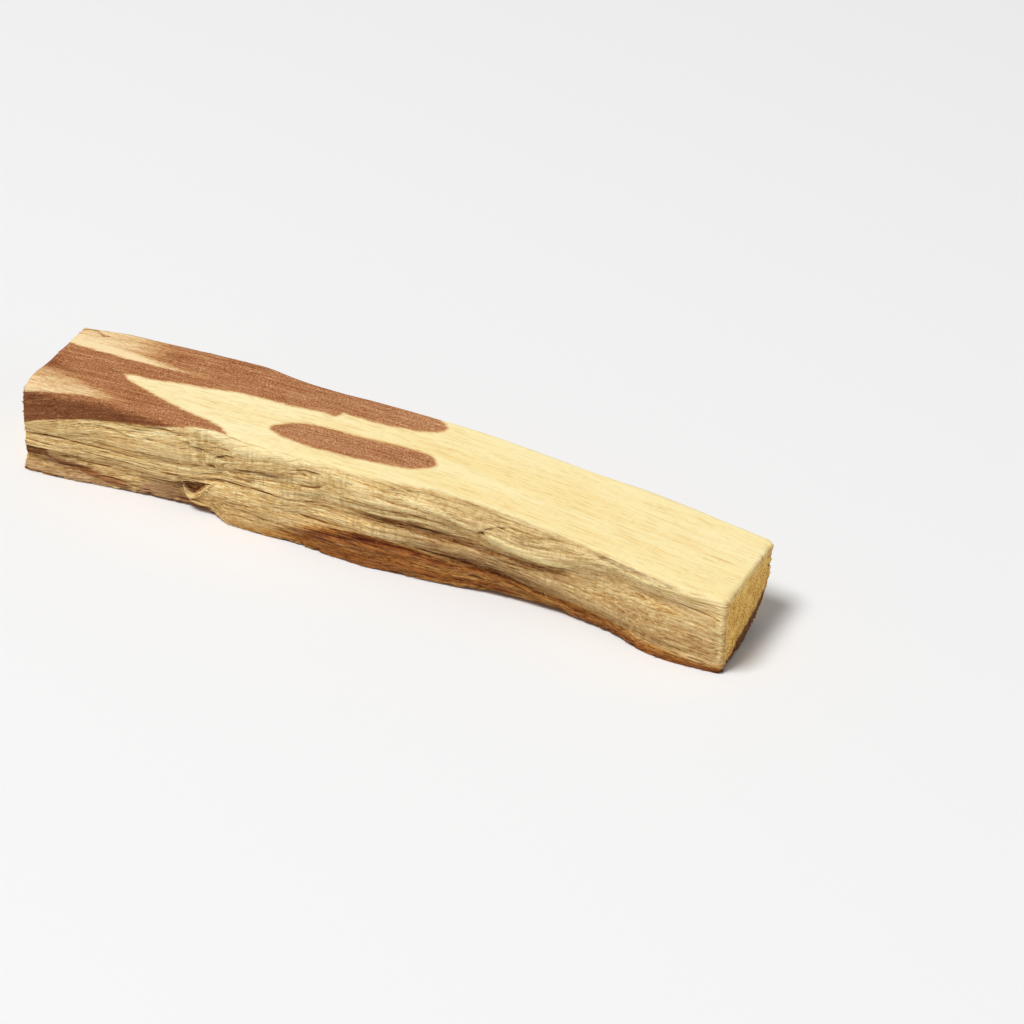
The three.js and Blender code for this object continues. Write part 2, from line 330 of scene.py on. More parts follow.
# The outline of the deep hollow above the curled splinter, and of the place to its left where a
# layer of wood has come away.
HOLLOW = (
    "21.8 3.8, 23.5 4.1, 25.5 4.8, 27.2 5.1, 26.1 4.6, 25.1 3.6, 24.2 2.6, 23.6 2.3, 22.8 2.6, 22.4 2.9"
)
HOLLOW_DEPTH = 0.5
HOLLOW_WALL = 0.25
RECESS = "12 2.8, 17.5 3.4, 21.9 3.7, 22.4 2.8, 22.9 1.8, 23.3 1.2, 24.7 0.9, 26.5 0.5, 26.5 -2, 12 -2"
RECESS_DEPTH = 0.4
RECESS_WALL = 0.18

# The band of heartwood at the left of the front is nearly as smooth as the top.
BAND_SMOOTHNESS = 0.8
# Towards the right end the grain is straight, and the relief drops by this share.
CALM_SHARE = 0.5
CALM_FROM = (66, 82)

# The broad valley of the front, and how much shallower it is than the frame's: height, half
# width, and start, end and taper along the stick.
VALLEY = "46 6.9, 54 7.6, 62.7 7.4, 68.4 7.4, 74.2 7.9, 80.5 7.6, 93.8 7.4, 101 7.1"
FILLS = [(0.45, 1.3, (76, 106, 8)), (0.25, 1.0, (58, 82, 9))]

# The furrows lie about as much in front of the frame's surface as behind it.
MEAN_CUT = 0.13
# How many small ledges and thin cracks lie at random on a split face.
LOOSE_LEDGES = 320
LOOSE_CRACKS = 260


def inside_outline(outline, place, height):
    """How far points lie inside a closed outline. It is negative outside."""
    nearest = np.full(np.shape(place), 1e9)
    inside = np.zeros(np.shape(place), bool)
    for (x0, y0), (x1, y1) in zip(outline, np.roll(outline, -1, axis=0)):
        dx, dy = x1 - x0, y1 - y0
        t = np.clip(((place - x0) * dx + (height - y0) * dy) / (dx * dx + dy * dy), 0, 1)
        nearest = np.minimum(nearest, np.hypot(place - x0 - t * dx, height - y0 - t * dy))
        crosses = (y0 > height) != (y1 > height)
        inside ^= crosses & (place < x0 + (height - y0) * dx / (dy if dy else 1e-9))
    return np.where(inside, nearest, -nearest)


def ledge_drop(offset, reach):
    """A sharp step down where the offset turns positive, which rises back over the reach."""
    beyond = np.exp(-np.maximum(offset, 0) / reach)
    return np.where(offset > 0, beyond, np.exp(np.minimum(offset, 0) / LEDGE_LIP))


def loose_ledges(place, across, lowest, highest, seed):
    """Many small torn ledges at random places across the grain."""
    random = np.random.default_rng(seed)
    cut = np.zeros(place.shape)
    for _ in range(LOOSE_LEDGES):
        middle = random.uniform(-6, LENGTH + 6)
        half = random.uniform(0.6, 7)
        level = random.uniform(lowest, highest)
        step = random.uniform(0.03, 0.14)
        reach = random.uniform(0.15, 0.8)
        side = random.choice([-1, 1])
        drift = random.uniform(-0.03, 0.03)
        wander = 0.15 * np.sin(place / 2.7 + random.uniform(0, 100)) + drift * (place - middle)
        stretch = window(place, middle - half, middle + half, 0.7 * half)
        cut += step * stretch * ledge_drop(side * (across - level - wander), reach)
    return cut


def loose_cracks(place, across, lowest, highest, seed):
    """Many short thin cracks at random places along the grain."""
    random = np.random.default_rng(seed)
    cut = np.zeros(place.shape)
    for _ in range(LOOSE_CRACKS):
        middle = random.uniform(-2, LENGTH + 2)
        half = random.uniform(0.7, 4.5)
        level = random.uniform(lowest, highest)
        depth = random.uniform(0.03, 0.13)
        width = random.uniform(0.07, 0.11)
        drift = random.uniform(-0.04, 0.04)
        near = np.abs(place[:, 0] - middle) < half
        offset = (across[near] - level - drift * (place[near] - middle)) / width
        cut[near] += depth * window(place[near], middle - half, middle + half, 0.8 * half) * bell(offset)
    return cut


def split_texture(place, across, seed, calm=1.0):
    """The furrows that every split face has, straighter and lower where it is calm."""
    bent = across + 0.3 * calm * noise(place / 8, across / 2.5, seed)
    cut = 0.09 * furrows(place, bent, 1.6, 12, seed + 1)
    rough = 0.7 + 0.5 * noise(place / 5, bent / 1.6, seed + 6)
    fine = 0.055 * furrows(place, bent, 0.75, 7, seed + 2)
    fine += 0.05 * furrows(place, bent, 0.38, 4, seed + 3)
    fine += 0.05 * furrows(place, bent, 0.2, 2.2, seed + 4)
    fine += 0.05 * noise(place / 0.7, bent / 0.24, seed + 5)
    return calm * (cut + rough * fine - MEAN_CUT)


def ridge_run(path, place):
    return run(path, place, 3.0, 0.3)


def across_ridge(path, width, place, height):
    """How far points lie from a ridge, in its widths. Its upper side is the steeper one."""
    offset = (height - along(path, place)) / width
    return np.where(offset > 0, offset / 0.55, offset / 1.2)


def in_valley(place, height, half):
    """1 in the middle of the valley, and 0 beside it."""
    return bell((height - along(VALLEY, place)) / half)


def front_cut(place, height):
    """How deep the front face lies behind the frame's surface."""
    across = across_front(place, height)
    calm = 1 - CALM_SHARE * smooth_step(*CALM_FROM, place)
    cut = split_texture(place, across, 10, calm) + calm * loose_ledges(place, across, -1, 16, 20)
    cut += loose_cracks(place, across, -1, 13, 25)
    for fill, half, stretch in FILLS:
        cut -= fill * window(place, *stretch) * in_valley(place, height, half)
    in_band = smooth_step(-0.2, 0.4, front_heartwood(place, height)) * (1 - smooth_step(24, 30, place))
    cut *= 1 - BAND_SMOOTHNESS * in_band
    wander = 0.05 * line_noise(place / 1.3, 31)
    uneven = CRACK_SHARE * (0.75 + 0.35 * line_noise(place / 1.7, 32))
    for width, depth, path in CRACKS:
        offset = (height - along(path, place) - wander) / width
        cut += depth * uneven * run(path, place, 3.0, 0.4) * bell(offset)
    for width, rise, _, path in RIDGES:
        cut -= rise * ridge_run(path, place) * bell(across_ridge(path, width, place, height))
    wander = 0.06 * line_noise(place / 0.8, 33)
    for side, step, reach, path in LEDGES:
        (start, _), (end, _) = points(path)[[0, -1]]
        rising = smooth_step(start - 0.3, start + 0.5, place)
        falling = 1 - smooth_step(0.6 * end + 0.4 * start, end, place)
        cut += step * rising * falling * ledge_drop(side * (height - along(path, place) - wander), reach)
    for pit_place, pit_height, radius, depth in points(PITS):
        away = np.hypot((place - pit_place) / PIT_STRETCH, height - pit_height) / radius
        cut += PIT_SHARE * depth * flat_bell(away)
    hollow = inside_outline(points(HOLLOW), place, height) + 0.1 * noise(place * 3, height * 4, 34)
    recess = inside_outline(points(RECESS), place, height) + 0.08 * noise(place * 2, height * 3, 35)
    cut += HOLLOW_DEPTH * smooth_step(0, HOLLOW_WALL, hollow)
    return cut + RECESS_DEPTH * smooth_step(0, RECESS_WALL, recess) * smooth_step(12, 21, place)


def back_cut(place, height):
    across = across_back(place, height)
    cut = split_texture(place, across, 50) + loose_ledges(place, across, -4, 16, 60)
    return cut + loose_cracks(place, across, -4, 15, 65)


# By the left end a crack runs along the back edge of the top: place and depth.
TOP_CRACK = "-0.5 14.2, 0.2 14.6, 1.2 15.2, 2.2 15, 3.2 14.5, 4.3 14.9"


def in_top_crack(place, depth):
    """1 in the middle of the crack on the top, and 0 beside it."""
    offset = (depth - along(TOP_CRACK, place) - 0.08 * line_noise(place / 0.5, 73)) / 0.11
    return window(place, -1, 4.3, 0.8) * bell(offset)


def top_cut(place, depth):
    cut = 0.012 * furrows(place, across_top(place, depth), 0.5, 9, 71)
    return cut + 0.02 * noise(place / 7, depth / 4, 72) + 0.2 * in_top_crack(place, depth)


def underside_cut(place, depth):
    return 0.05 * furrows(place, depth, 0.9, 12, 81) + 0.03 * noise(place / 1.5, depth / 1.5, 82)


# The dressed stick is measured on the frame's own stick by rays, section by section. Rows run
# round each section: up the front, over the top, down the back, and under it to the front.
FACE_ROWS = (190, 48, 80, 26)
FRONT_ROWS, TOP_ROWS, BACK_ROWS, UNDER_ROWS = FACE_ROWS
ROWS = sum(FACE_ROWS)
# The rows that lie on the four long edges, each the first one of its face.
EDGES = (0, FRONT_ROWS, FRONT_ROWS + TOP_ROWS, ROWS - UNDER_ROWS)
FOOT_ROW, ARRIS_ROW, BACK_EDGE_ROW, HEEL_ROW = EDGES
# The sections lie a broad step apart, a close one in these stretches, and closer still by the ends.
BROAD_STEP = 0.5
CLOSE_STEP = 0.28
CLOSE_STRETCHES = [(-2, 3), (21.5, 30.5), (39.5, 45.5), (53.5, 58), (63.5, 70), (84, 88), (98, 102)]
END_STEPS = [0.0, 0.05, 0.12, 0.22, 0.36, 0.55, 0.8]
# The saw cuts lie within this of their ends.
END_REACH = 3.0
# Outside these shares of the length the sections keep their form, up to the saw cuts.
SOUND_SHARES = (0.013, 0.998)
# The depth and height that the rays of a section start from.
SECTION_MIDDLE = (8.5, 6.0)
# Each corner is the point furthest out by these shares of depth and height, in this quarter
# turn. Turns count from the back upwards.
CORNERS = [(-0.8, -0.6, -2), (-0.5, 0.87, 1), (0.5, 0.87, 0), (0.35, -0.94, -1)]
# How widely the long edges of the top are worn round, within this many rows to each side. Rows
# are turned into distances as if a face were this high.
ARRIS_WEAR = "0 0.5, 10 0.35, 22 0.3, 30 0.5, 45 0.45, 56 0.28, 72 0.25, 84 0.5, 100 0.6"
BACK_EDGE_WEAR = "0 0.3, 100 0.35"
WORN_ROWS = 22
FACE_HEIGHT = 14.0

tree = BVHTree.FromObject(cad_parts["stick"], bpy.context.evaluated_depsgraph_get())


def hit(start, direction):
    """Where a ray meets the frame's stick, or None."""
    point = tree.ray_cast(Vector(to_metres(start)), Vector(direction))[0]
    return None if point is None else to_millimetres(point)


def end_plane(outwards):
    """The plane of one saw cut as [a, b, c], where place = a + b * depth + c * height."""
    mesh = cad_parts["stick"].data
    corners = {v for face in mesh.polygons if face.normal.x * outwards > 0.8 for v in face.vertices}
    found = to_millimetres([mesh.vertices[v].co for v in corners])
    found = found[outwards * (found[:, 0] - LENGTH / 2) > LENGTH / 2 - END_REACH]
    for _ in range(6):
        known = np.column_stack([np.ones(len(found)), found[:, 1:]])
        fit = np.linalg.lstsq(known, found[:, 0], rcond=None)[0]
        misses = np.abs(known @ fit - found[:, 0])
        found = found[misses <= max(0.01, 1.5 * np.median(misses))]
    return fit


left_plane = end_plane(-1)
right_plane = end_plane(1)


def place_on(plane, depth, height):
    return plane[0] + plane[1] * depth + plane[2] * height


def section_shares():
    """Where the sections lie, from 0 to 1, close together at the ends and where much is torn."""
    places = list(END_STEPS)
    while places[-1] < LENGTH - END_STEPS[-1]:
        close = any(start <= places[-1] < end for start, end in CLOSE_STRETCHES)
        places.append(places[-1] + (CLOSE_STEP if close else BROAD_STEP))
    kept = [place for place in places if place < LENGTH - END_STEPS[-1] - 0.1]
    return np.array(kept + [LENGTH - step for step in reversed(END_STEPS)]) / LENGTH


class Section:
    """One slice of the frame's stick, nearly across it, in the plane between the end cuts."""

    def __init__(self, share):
        sound = min(max(share, SOUND_SHARES[0]), SOUND_SHARES[1])
        self.own_plane = left_plane + share * (right_plane - left_plane)
        self.plane = left_plane + sound * (right_plane - left_plane)

    def edge(self, depth, height):
        """The surface seen from the middle in the direction of a depth and height."""
        d = depth - SECTION_MIDDLE[0]
        h = height - SECTION_MIDDLE[1]
        start = (place_on(self.plane, *SECTION_MIDDLE), *SECTION_MIDDLE)
        _, depth, height = hit(start, (self.plane[1] * d + self.plane[2] * h, d, h))
        return place_on(self.own_plane, depth, height), depth, height

    def corner(self, depth_way, height_way, quarter):
        """The point furthest out one way, looked for in a quarter turn and then more closely."""
        first = quarter * math.pi / 2
        last = first + math.pi / 2
        for count in (40, 24):
            angles = np.linspace(first, last, count)
            ways = [(math.cos(angle), math.sin(angle)) for angle in angles]
            seen = [self.edge(SECTION_MIDDLE[0] + d, SECTION_MIDDLE[1] + h) for d, h in ways]
            best = int(np.argmax([depth_way * point[1] + height_way * point[2] for point in seen]))
            first = angles[max(best - 1, 0)]
            last = angles[min(best + 1, count - 1)]
        return seen[best][1:]


def weights(places, spread):
    """A matrix that blurs along a row of points, less and less towards both of its ends."""
    from_end = np.minimum(places - places[0], places[-1] - places)
    own = np.maximum(np.minimum(spread, 0.5 * from_end), 1e-3)[:, None]
    matrix = np.exp(-0.5 * ((places[:, None] - places[None, :]) / own) ** 2) * np.gradient(places)[None, :]
    return matrix / matrix.sum(axis=1, keepdims=True)


def frame_surface(shares):
    """Points on the frame's stick, one row of them for each section."""
    sections = [Section(share) for share in shares]
    corners = np.array([[section.corner(*corner) for corner in CORNERS] for section in sections])
    corners = np.einsum("ik,kcd->icd", weights(shares * LENGTH, 1.0), corners)
    surface = []
    for section, own in zip(sections, corners):
        for side, rows in enumerate(FACE_ROWS):
            start, end = own[side], own[(side + 1) % 4]
            t = np.arange(rows) / rows
            if side == 1:
                # The rows of the top are closer together by its two edges.
                t = t - 0.55 * np.sin(math.tau * t) / math.tau
            surface += [section.edge(*(start + share * (end - start))) for share in t]
    return np.array(surface).reshape(len(shares), ROWS, 3)


def smoothed(surface, shares):
    """The same surface without the frame's facets, with its long edges a little worn."""
    soft = surface.copy()
    soft[:, :, 1:] = np.einsum("ik,kjd->ijd", weights(shares * LENGTH, 0.9), surface[:, :, 1:])
    for first, count in ((FOOT_ROW, FRONT_ROWS), (BACK_EDGE_ROW, BACK_ROWS)):
        rows = slice(first, first + count + 1)
        around = weights(np.arange(count + 1) * FACE_HEIGHT / count, 0.3)
        soft[:, rows, 1:] = np.einsum("jk,ikd->ijd", around, soft[:, rows, 1:])
    for edge, wear in ((ARRIS_ROW, ARRIS_WEAR), (BACK_EDGE_ROW, BACK_EDGE_WEAR)):
        rows = slice(edge - WORN_ROWS, edge + WORN_ROWS + 1)
        for section, spread in zip(soft[:, rows, 1:], along(wear, shares * LENGTH)):
            steps = np.linalg.norm(np.diff(section, axis=0), axis=1)
            section[:] = weights(np.concatenate([[0], np.cumsum(steps)]), spread) @ section
    return soft


def outward(surface):
    """The direction out of the wood at each point, square to the stick's length."""
    around = np.roll(surface, -1, axis=1) - np.roll(surface, 1, axis=1)
    out = np.stack([np.zeros(surface.shape[:2]), -around[:, :, 2], around[:, :, 1]], axis=2)
    return out / np.linalg.norm(out, axis=2, keepdims=True)


def by_face(surface, *each):
    """A grid made of one function or one number for each face.

    Upright faces are read by place and height, and the top and the underside by place and depth.
    """
    grid = np.empty(surface.shape[:2])
    for i, (first, rows, value) in enumerate(zip(EDGES, FACE_ROWS, each)):
        place, depth, height = np.moveaxis(surface[:, first:first + rows], 2, 0)
        grid[:, first:first + rows] = value(place, depth if i % 2 else height) if callable(value) else value
    return grid


def from_saw_cuts(surface):
    """How far each point lies from the left end and from the right end."""
    return surface[:, :, 0] - surface[0, :, 0], surface[-1, :, 0] - surface[:, :, 0]


# How widely the corners at the left and right ends are rounded, and how much more where the
# long edges of the top run out.
END_ROUNDING = (0.24, 0.6)
ARRIS_BRUISE = (0.7, 0.25)
BACK_EDGE_BRUISE = (0, 0.25)
# The lower back edge of the right end is ragged, as deep as this and over this length.
RAGGED_DEPTH = 0.45
RAGGED_REACH = 3.5
# The foot of the front is chipped this deep, over this many rows of the front and the underside.
CHIP_DEPTH = 0.3
CHIP_ROWS = (9, 3)


def relief(surface):
    """How far each point is set in, by the face it lies on."""
    place = surface[:, :, 0]
    row = np.arange(ROWS)
    cut = by_face(surface, front_cut, top_cut, back_cut, underside_cut)
    near_edge = np.minimum.reduce([np.abs(row - edge) for edge in (*EDGES, ROWS)])
    cut *= 0.3 + 0.7 * smooth_step(0, 5, near_edge)
    ragged = smooth_step(0, 20, row - BACK_EDGE_ROW) * (1 - smooth_step(0, RAGGED_REACH, place[-1] - place))
    torn_off = np.maximum(0, 0.15 + noise(row / 3.4, place / 1.1, 95))
    from_foot = np.minimum(row / CHIP_ROWS[0], (ROWS - row) / CHIP_ROWS[1])
    chips = 0.1 + noise(place / 0.8, row / 9, 96) + 0.5 * noise(place / 3.1, row / 9, 97)
    chips = CHIP_DEPTH * (1 - smooth_step(0, 1, from_foot)) * np.maximum(0, chips)
    return cut + RAGGED_DEPTH * ragged * torn_off + chips


def rounded_ends(surface):
    """How far the corners between the faces and the saw cuts are worn off."""
    from_left, from_right = from_saw_cuts(surface)
    left = from_left < from_right
    row = np.arange(ROWS)
    uneven = 1 + 0.4 * noise(row / 9, left * 5.3, 91) + 0.5 * noise(row / 2.6, left * 7.7, 92)
    radius = np.maximum(np.where(left, *END_ROUNDING) * uneven, 0.05)
    radius += np.where(left, *ARRIS_BRUISE) * bell((row - ARRIS_ROW) / 14)
    radius += np.where(left, *BACK_EDGE_BRUISE) * bell((row - BACK_EDGE_ROW) / 8)
    inside = np.clip(1 - np.minimum(from_left, from_right) / radius, 0, 1)
    return radius * (1 - np.sqrt(1 - inside * inside))


# Heartwood, other colours and painted light and shade, as fields that the material reads from the mesh

SURFACE_FIELDS = ("heart", "veil", "resin", "grey", "tan_and_shade", "olive_shade", "split", "saw", "end", "crest_light_and_shade", "swell_light_and_shade",
                  "cream_and_highlight")
# The crest and swell fields paint shade into crevices and hollows and a highlight onto crests:
# a crest stands proud of the wood within this distance, and a swell of the wood further round.
CREST_WIDTH = 0.35
SWELL_WIDTH = 1.3

# The heartwood's outlines on the top, and how far down it reaches on the front and the back.
TOP_HEARTWOOD = [
    "-3 12.7, -3 19.5, 49.8 19.5, 49.8 18.4, 51.7 18.2, 52.7 17.6, 53.3 17.1, 53.5 16.7, 52.6 15.5, "
    "50.6 14.7, 47.9 14.2, 45.2 13.8, 42.3 13.7, 40.9 13.7, 39.3 13.9, 40 13.4, 39.5 12.5, 38.6 12.5, "
    "37 12.6, 35.7 12.3, 33 11.9, 30.1 11.8, 27.3 11.5, 24.5 11.1, 21.9 10.3, 19.2 9.8, 16.6 9.2, "
    "14 8.5, 11.1 8.2, 10.1 7.8, 11.6 6.9, 14.7 6, 17.4 5.3, 21 4.4, 24.2 3.9, 25.3 3.9, 26.8 3.4, "
    "28.3 2.9, 29.3 2.2, 27 1.5, 20 -1.5, -3 -3",
    "32.8 6.1, 34.5 7.9, 36.1 9, 38.1 9.4, 40.9 9.7, 43.7 9.8, 47.2 10.1, 49.9 10.5, 52.7 10.6, "
    "53.9 10.6, 54.7 10.2, 55.5 9.6, 56 8.9, 55.5 8.1, 53.3 6.7, 50.8 6.1, 48.1 5.8, 45.5 5.2, "
    "42.6 5.1, 39.9 4.9, 36.9 5, 35.2 5.4",
]
FRONT_BAND_EDGE = "-1.5 7.3, -0.4 7.8, 2.2 9, 4.8 9.6, 10.8 10.7, 15.8 11.4, 22 12.7, 28.8 14.1, 40 18"
BACK_HEARTWOOD_EDGE = "4 15.5, 8 13.2, 14 10.8, 24 9.6, 36 9.8, 46 11.4, 52 13, 58 16"

# Pale bands that cross the heartwood at the left of the top: how pale and how soft they are at
# their front and back edges, where they fade out, and the two edges.
VEILS = [
    ((1.2, 0.85), (0.3, 0.9), (9, 30),
     "-2 11, 1.7 10.9, 4.8 11, 7.8 11.1, 10.7 11.3, 13.8 11.5, 16.6 11.8, 21 12.2",
     "-2 14.2, 3.5 13.9, 6.8 13.3, 10 12.9, 14 12.6, 21 12.8"),
    ((0.85, 0.6), (0.9, 0.9), (5, 19),
     "-2 13, 7 12.7, 14 12.9, 20 13.5",
     "-2 18.5, 20 17.5"),
    ((0.85, 0.46), (0.35, 1.2), (7, 19),
     "-2 -3, 2.4 -1.5, 4.2 -0.6, 5.5 0, 6.7 0.5, 8 0.9, 10 1.3, 12 1.7, 15 2.1, 19 2.3",
     "-2 5.2, 1.1 4.8, 5.9 4.2, 9.4 3.5, 12.5 3.4, 19 3"),
]
# The pale corner reaches over the arris, down to these heights of the front.
CORNER_VEIL_EDGE = "-1.5 12.7, 0.5 13, 1.7 13.3, 3.1 13.7, 5.5 14.3, 8 15"

# Resin on the front: the half width of each line below and above its path, its amount and its
# taper. The gully's line comes first.
GULLY = (
    "34 1, 40 1.4, 42.5 2, 46.1 2.7, 51.7 3.3, 57.2 3.1, 62.6 2.9, 67 3.2, 71.1 2.7, 75.3 2.2, 79.5 1.8, "
    "84 1.4, 92 1"
)
RESIN_LINES = [
    (0.75, "40 1.6, 47 1.2, 54 0.9, 62 0.6, 76 0.45, 92 0.35",
     "42 1.35, 55 1.3, 63 0.95, 92 0.95", 9, GULLY),
    (0.6, 0.6, 1.4, 4, "40 0.3, 47 0.7, 50 0.9, 55 1.2, 61 1.3, 66 1.4, 72 1.1"),
    (0.65, 0.65, 1.1, 1.2, "1.4 2.7, 4.2 2.4, 6.4 2.2, 8.5 1.8, 11.5 1.2, 15 0.5"),
    (0.35, 0.35, 1.7, 1.5, "-2 0.1, 1.5 0.1, 5 0"),
    (0.5, 0.5, 1.2, 0.8, "22.6 0.8, 24.8 0.8, 27 0.3"),
    (0.1, 0.1, 0.6, 0.2, "7.6 10, 7.9 9.4, 8.6 9.2, 8.8 9.8"),
]
# Patches of resin: amount, softness and outline.
RESIN_PATCHES = [
    (1.5, 0.2, "-1.9 4, 0.5 3.9, 2.7 4.2, 2.6 2.9, 0.5 2.5, -1.9 2.4"),
    (0.38, 0.4, "-1.7 2.4, 2.6 2.6, 6 1.6, 7 0, -1.7 0"),
    (0.42, 0.7, "6 1.9, 8.5 1.9, 12 1.4, 16.5 0.6, 17 -1, 6 -1"),
    (0.68, 0.4, "15 0, 16.4 1.9, 18.5 3.3, 21.8 3.7, 22.4 2.8, 23 1.3, 26.5 0.5, 26.5 -2"),
    (0.85, 0.5, "17 -1, 20 0.6, 23.2 1.1, 26.5 0.4, 26.5 -2"),
    (0.6, 0.3, "22 3.2, 23.5 4, 26 4.6, 25.5 3.4, 24 2.2, 23 2.2"),
]
# Below the gully the wood is brown, by this amount: red-brown resin, with painted shade darkening the foot.
FOOT_RESIN_AND_SHADE = (
    "-2 0.1, 12 0.2, 28 0.25, 36 0.5, 44 0.95, 52 1.05, 57 0.9, 63 0.72, 72 0.8, 80 1, 86 1.2, 95 1.2, "
    "100 1.1"
)

# The foot of the bevel under the arris, and hollows with painted olive-brown shade: half width,
# amount, taper and path.
BEVEL_FOOT = "0 13.3, 28 12.4, 44 11.6, 56 11.6, 66 9.6, 73 8.8, 81 9.6, 90 9.3, 100 9"
OLIVE_SHADE_LINES = [
    (0.65, 1, 9,
     "44 6.9, 53.6 7, 57.1 6.9, 59.9 6.8, 62.7 6.9, 65.5 6.9, 68.4 6.6, 71.3 6.6, 76.8 6.9, 82 7.2"),
    (0.5, 0.25, 5, "76 7, 81 7.4, 83.9 7.6, 87.1 8, 89.5 8.2, 93.2 8.1, 97.8 7.5, 102 7.3"),
    (0.45, 0.8, 5, "79 11.6, 83 11.4, 88.6 11.3, 94.5 11.2, 99 11.1"),
    (0.35, 0.32, 5, "15.5 6.5, 20.7 6.7, 25.1 7, 27.3 7.1, 29.7 7.8, 33.6 9, 40 9.2"),
    (1.8, 0.2, 6, "82 4.4, 92 4.2, 102 4"),
    (0.3, 0.34, 5, "25 5.3, 30.5 6.2, 36 6.5, 41 6.5, 46 6.3"),
]

# The split face's colour reaches this far onto the top, and takes over within the fade.
SPLIT_REACH = "28 0, 44 0.4, 52 0.7, 60 0.95, 68 0.95, 76 0.65, 85 0.4, 100 0.2"
SPLIT_FADE = "0 0.9, 24 0.9, 30 2.4, 44 1.2, 54 0.7, 62 0.7, 80 0.7, 92 0.8, 100 1.6"
# The dark skin along the lower back edge of the right end: depth and height.
DARK_SKIN = "0 0.3, 1.2 0.6, 2.4 1.1, 3.6 1.7, 5 2.3, 7 2.7, 9.2 3.3, 11 4.2, 13 5.2, 14 6, 15 8"
# The heartwood runs into the left end as a slanted band, between these heights at its front.
LEFT_SLOPE = 0.55
LEFT_HEARTWOOD = (7.9, 12.3)
# The border of an end carries a painted highlight, paler than its middle, over this width.
END_BORDER = 1.1


def corners_cut(outline):
    """A closed outline with each corner cut off twice over, which rounds it."""
    for _ in range(2):
        ahead = np.roll(outline, -1, axis=0)
        pairs = [0.75 * outline + 0.25 * ahead, 0.25 * outline + 0.75 * ahead]
        outline = np.stack(pairs, axis=1).reshape(-1, 2)
    return outline


def top_heartwood(place, depth):
    wander = 0.12 * noise(place / 1.6, depth / 0.5, 221) + 0.08 * noise(place / 0.7, depth / 0.22, 222)
    outlines = [corners_cut(points(outline)) for outline in TOP_HEARTWOOD]
    return np.maximum.reduce([inside_outline(outline, place, depth) for outline in outlines]) + wander


def front_heartwood(place, height):
    return height - along(FRONT_BAND_EDGE, place)


def back_heartwood(place, height):
    return height - along(BACK_HEARTWOOD_EDGE, place)


def underside_heartwood(place, depth):
    return -1.0 + 0.8 * noise(place / 30, depth / 3, 201)


def top_veil(place, depth):
    """How pale the heartwood of the top is, from 0 to 1."""
    pale = np.zeros(place.shape)
    for pales, softs, fade, *edges in VEILS:
        front, back = [along(edge, place) for edge in edges]
        share = np.clip((depth - front) / (back - front), 0, 1)
        amount = pales[0] + share * (pales[1] - pales[0])
        amount = amount * smooth_step(-softs[0], softs[0], depth - front)
        amount = amount * smooth_step(-softs[1], softs[1], back - depth)
        pale = np.maximum(pale, amount * (1 - smooth_step(*fade, place)))
    return pale


def corner_veil(place, height):
    return 0.85 * smooth_step(-0.3, 0.3, height - along(CORNER_VEIL_EDGE, place))


def front_resin(place, height):
    """Red-brown resin in the gully, and along the foot resin with painted shade."""
    amount = along(FOOT_RESIN_AND_SHADE, place) * (1 - smooth_step(-0.8, 0.8, height - along(GULLY, place)))
    for below, above, most, taper, path in RESIN_LINES:
        beside = height - along(path, place)
        beside = beside / np.where(beside > 0, along(above, place), below)
        amount = np.maximum(amount, along(most, place) * run(path, place, taper) * flat_bell(beside))
    for most, soft, outline in RESIN_PATCHES:
        inside = inside_outline(points(outline), place, height)
        amount = np.maximum(amount, most * smooth_step(-0.5 * soft, 0.5 * soft, inside))
    return amount


def back_resin(_, height):
    return 1 - smooth_step(1.0, 4.0, height)


def above_bevel_foot(place, height):
    return height - along(BEVEL_FOOT, place)


def front_grey(place, height):
    """Weathered grey-tan wood, mostly on the bevel under the arris."""
    bevel = top_grey(place, height) * smooth_step(-0.2, 0.5, above_bevel_foot(place, height))
    flat = 0.6 * window(place, 3, 24, 6) * bell((height - 5.6) / 0.9)
    marks = 0.45 * window(place, 22, 48, 5) * smooth_step(8.0, 9.5, height)
    low = (1 - smooth_step(20, 27, place)) * (1 - smooth_step(3.2, 4.8, height))
    return np.maximum.reduce([bevel, flat, marks, low])


def top_grey(place, _):
    return window(place, 46, 99, 8)


def front_tan_and_shade(place, height):
    """How much browner than straw the front is: tan wood, and painted shade in the broad valley and towards
    the foot.
    """
    right = 0.9 * smooth_step(44, 72, place) * (1 - smooth_step(-1.2, 0.6, above_bevel_foot(place, height)))
    valley = 0.8 * window(place, 46, 82, 8) * in_valley(place, height, 0.9)
    lighter = 0.7 * smooth_step(76, 84, place) + 0.3 * smooth_step(86, 94, place)
    right = right * (1 - lighter * in_valley(place, height, 1.2))
    return np.maximum.reduce([right, valley, 0.9 * (1 - smooth_step(2.5, 5.5, height))])


def top_tan(place, _):
    return smooth_step(15, 60, place)


def back_tan(place, height):
    return 0.5 + 0.5 * noise(place / 20, height / 4, 231)


# Painted olive-brown shade above the gully, under the ridges and in the hollows of the front.
def front_olive_shade(place, height):
    above_gully = height - along(GULLY, place)
    amount = window(place, 47, 81, 14) * smooth_step(-0.4, 0.4, above_gully)
    amount = amount * (1 - smooth_step(2.2, 4.0, above_gully))
    for half, most, taper, path in OLIVE_SHADE_LINES:
        beside = (height - along(path, place)) / half
        amount = np.maximum(amount, most * run(path, place, taper) * flat_bell(beside))
    return amount


def front_cream_highlight(place, height):
    """How much painted cream highlight the ridges of the front carry, and its edge by the right end."""
    amount = 0.85 * smooth_step(98.7, 99.6, place)
    for width, _, most, path in RIDGES:
        beside = across_ridge(path, width, place, height) / 1.2
        amount = np.maximum(amount, most * ridge_run(path, place) * flat_bell(beside))
    return amount


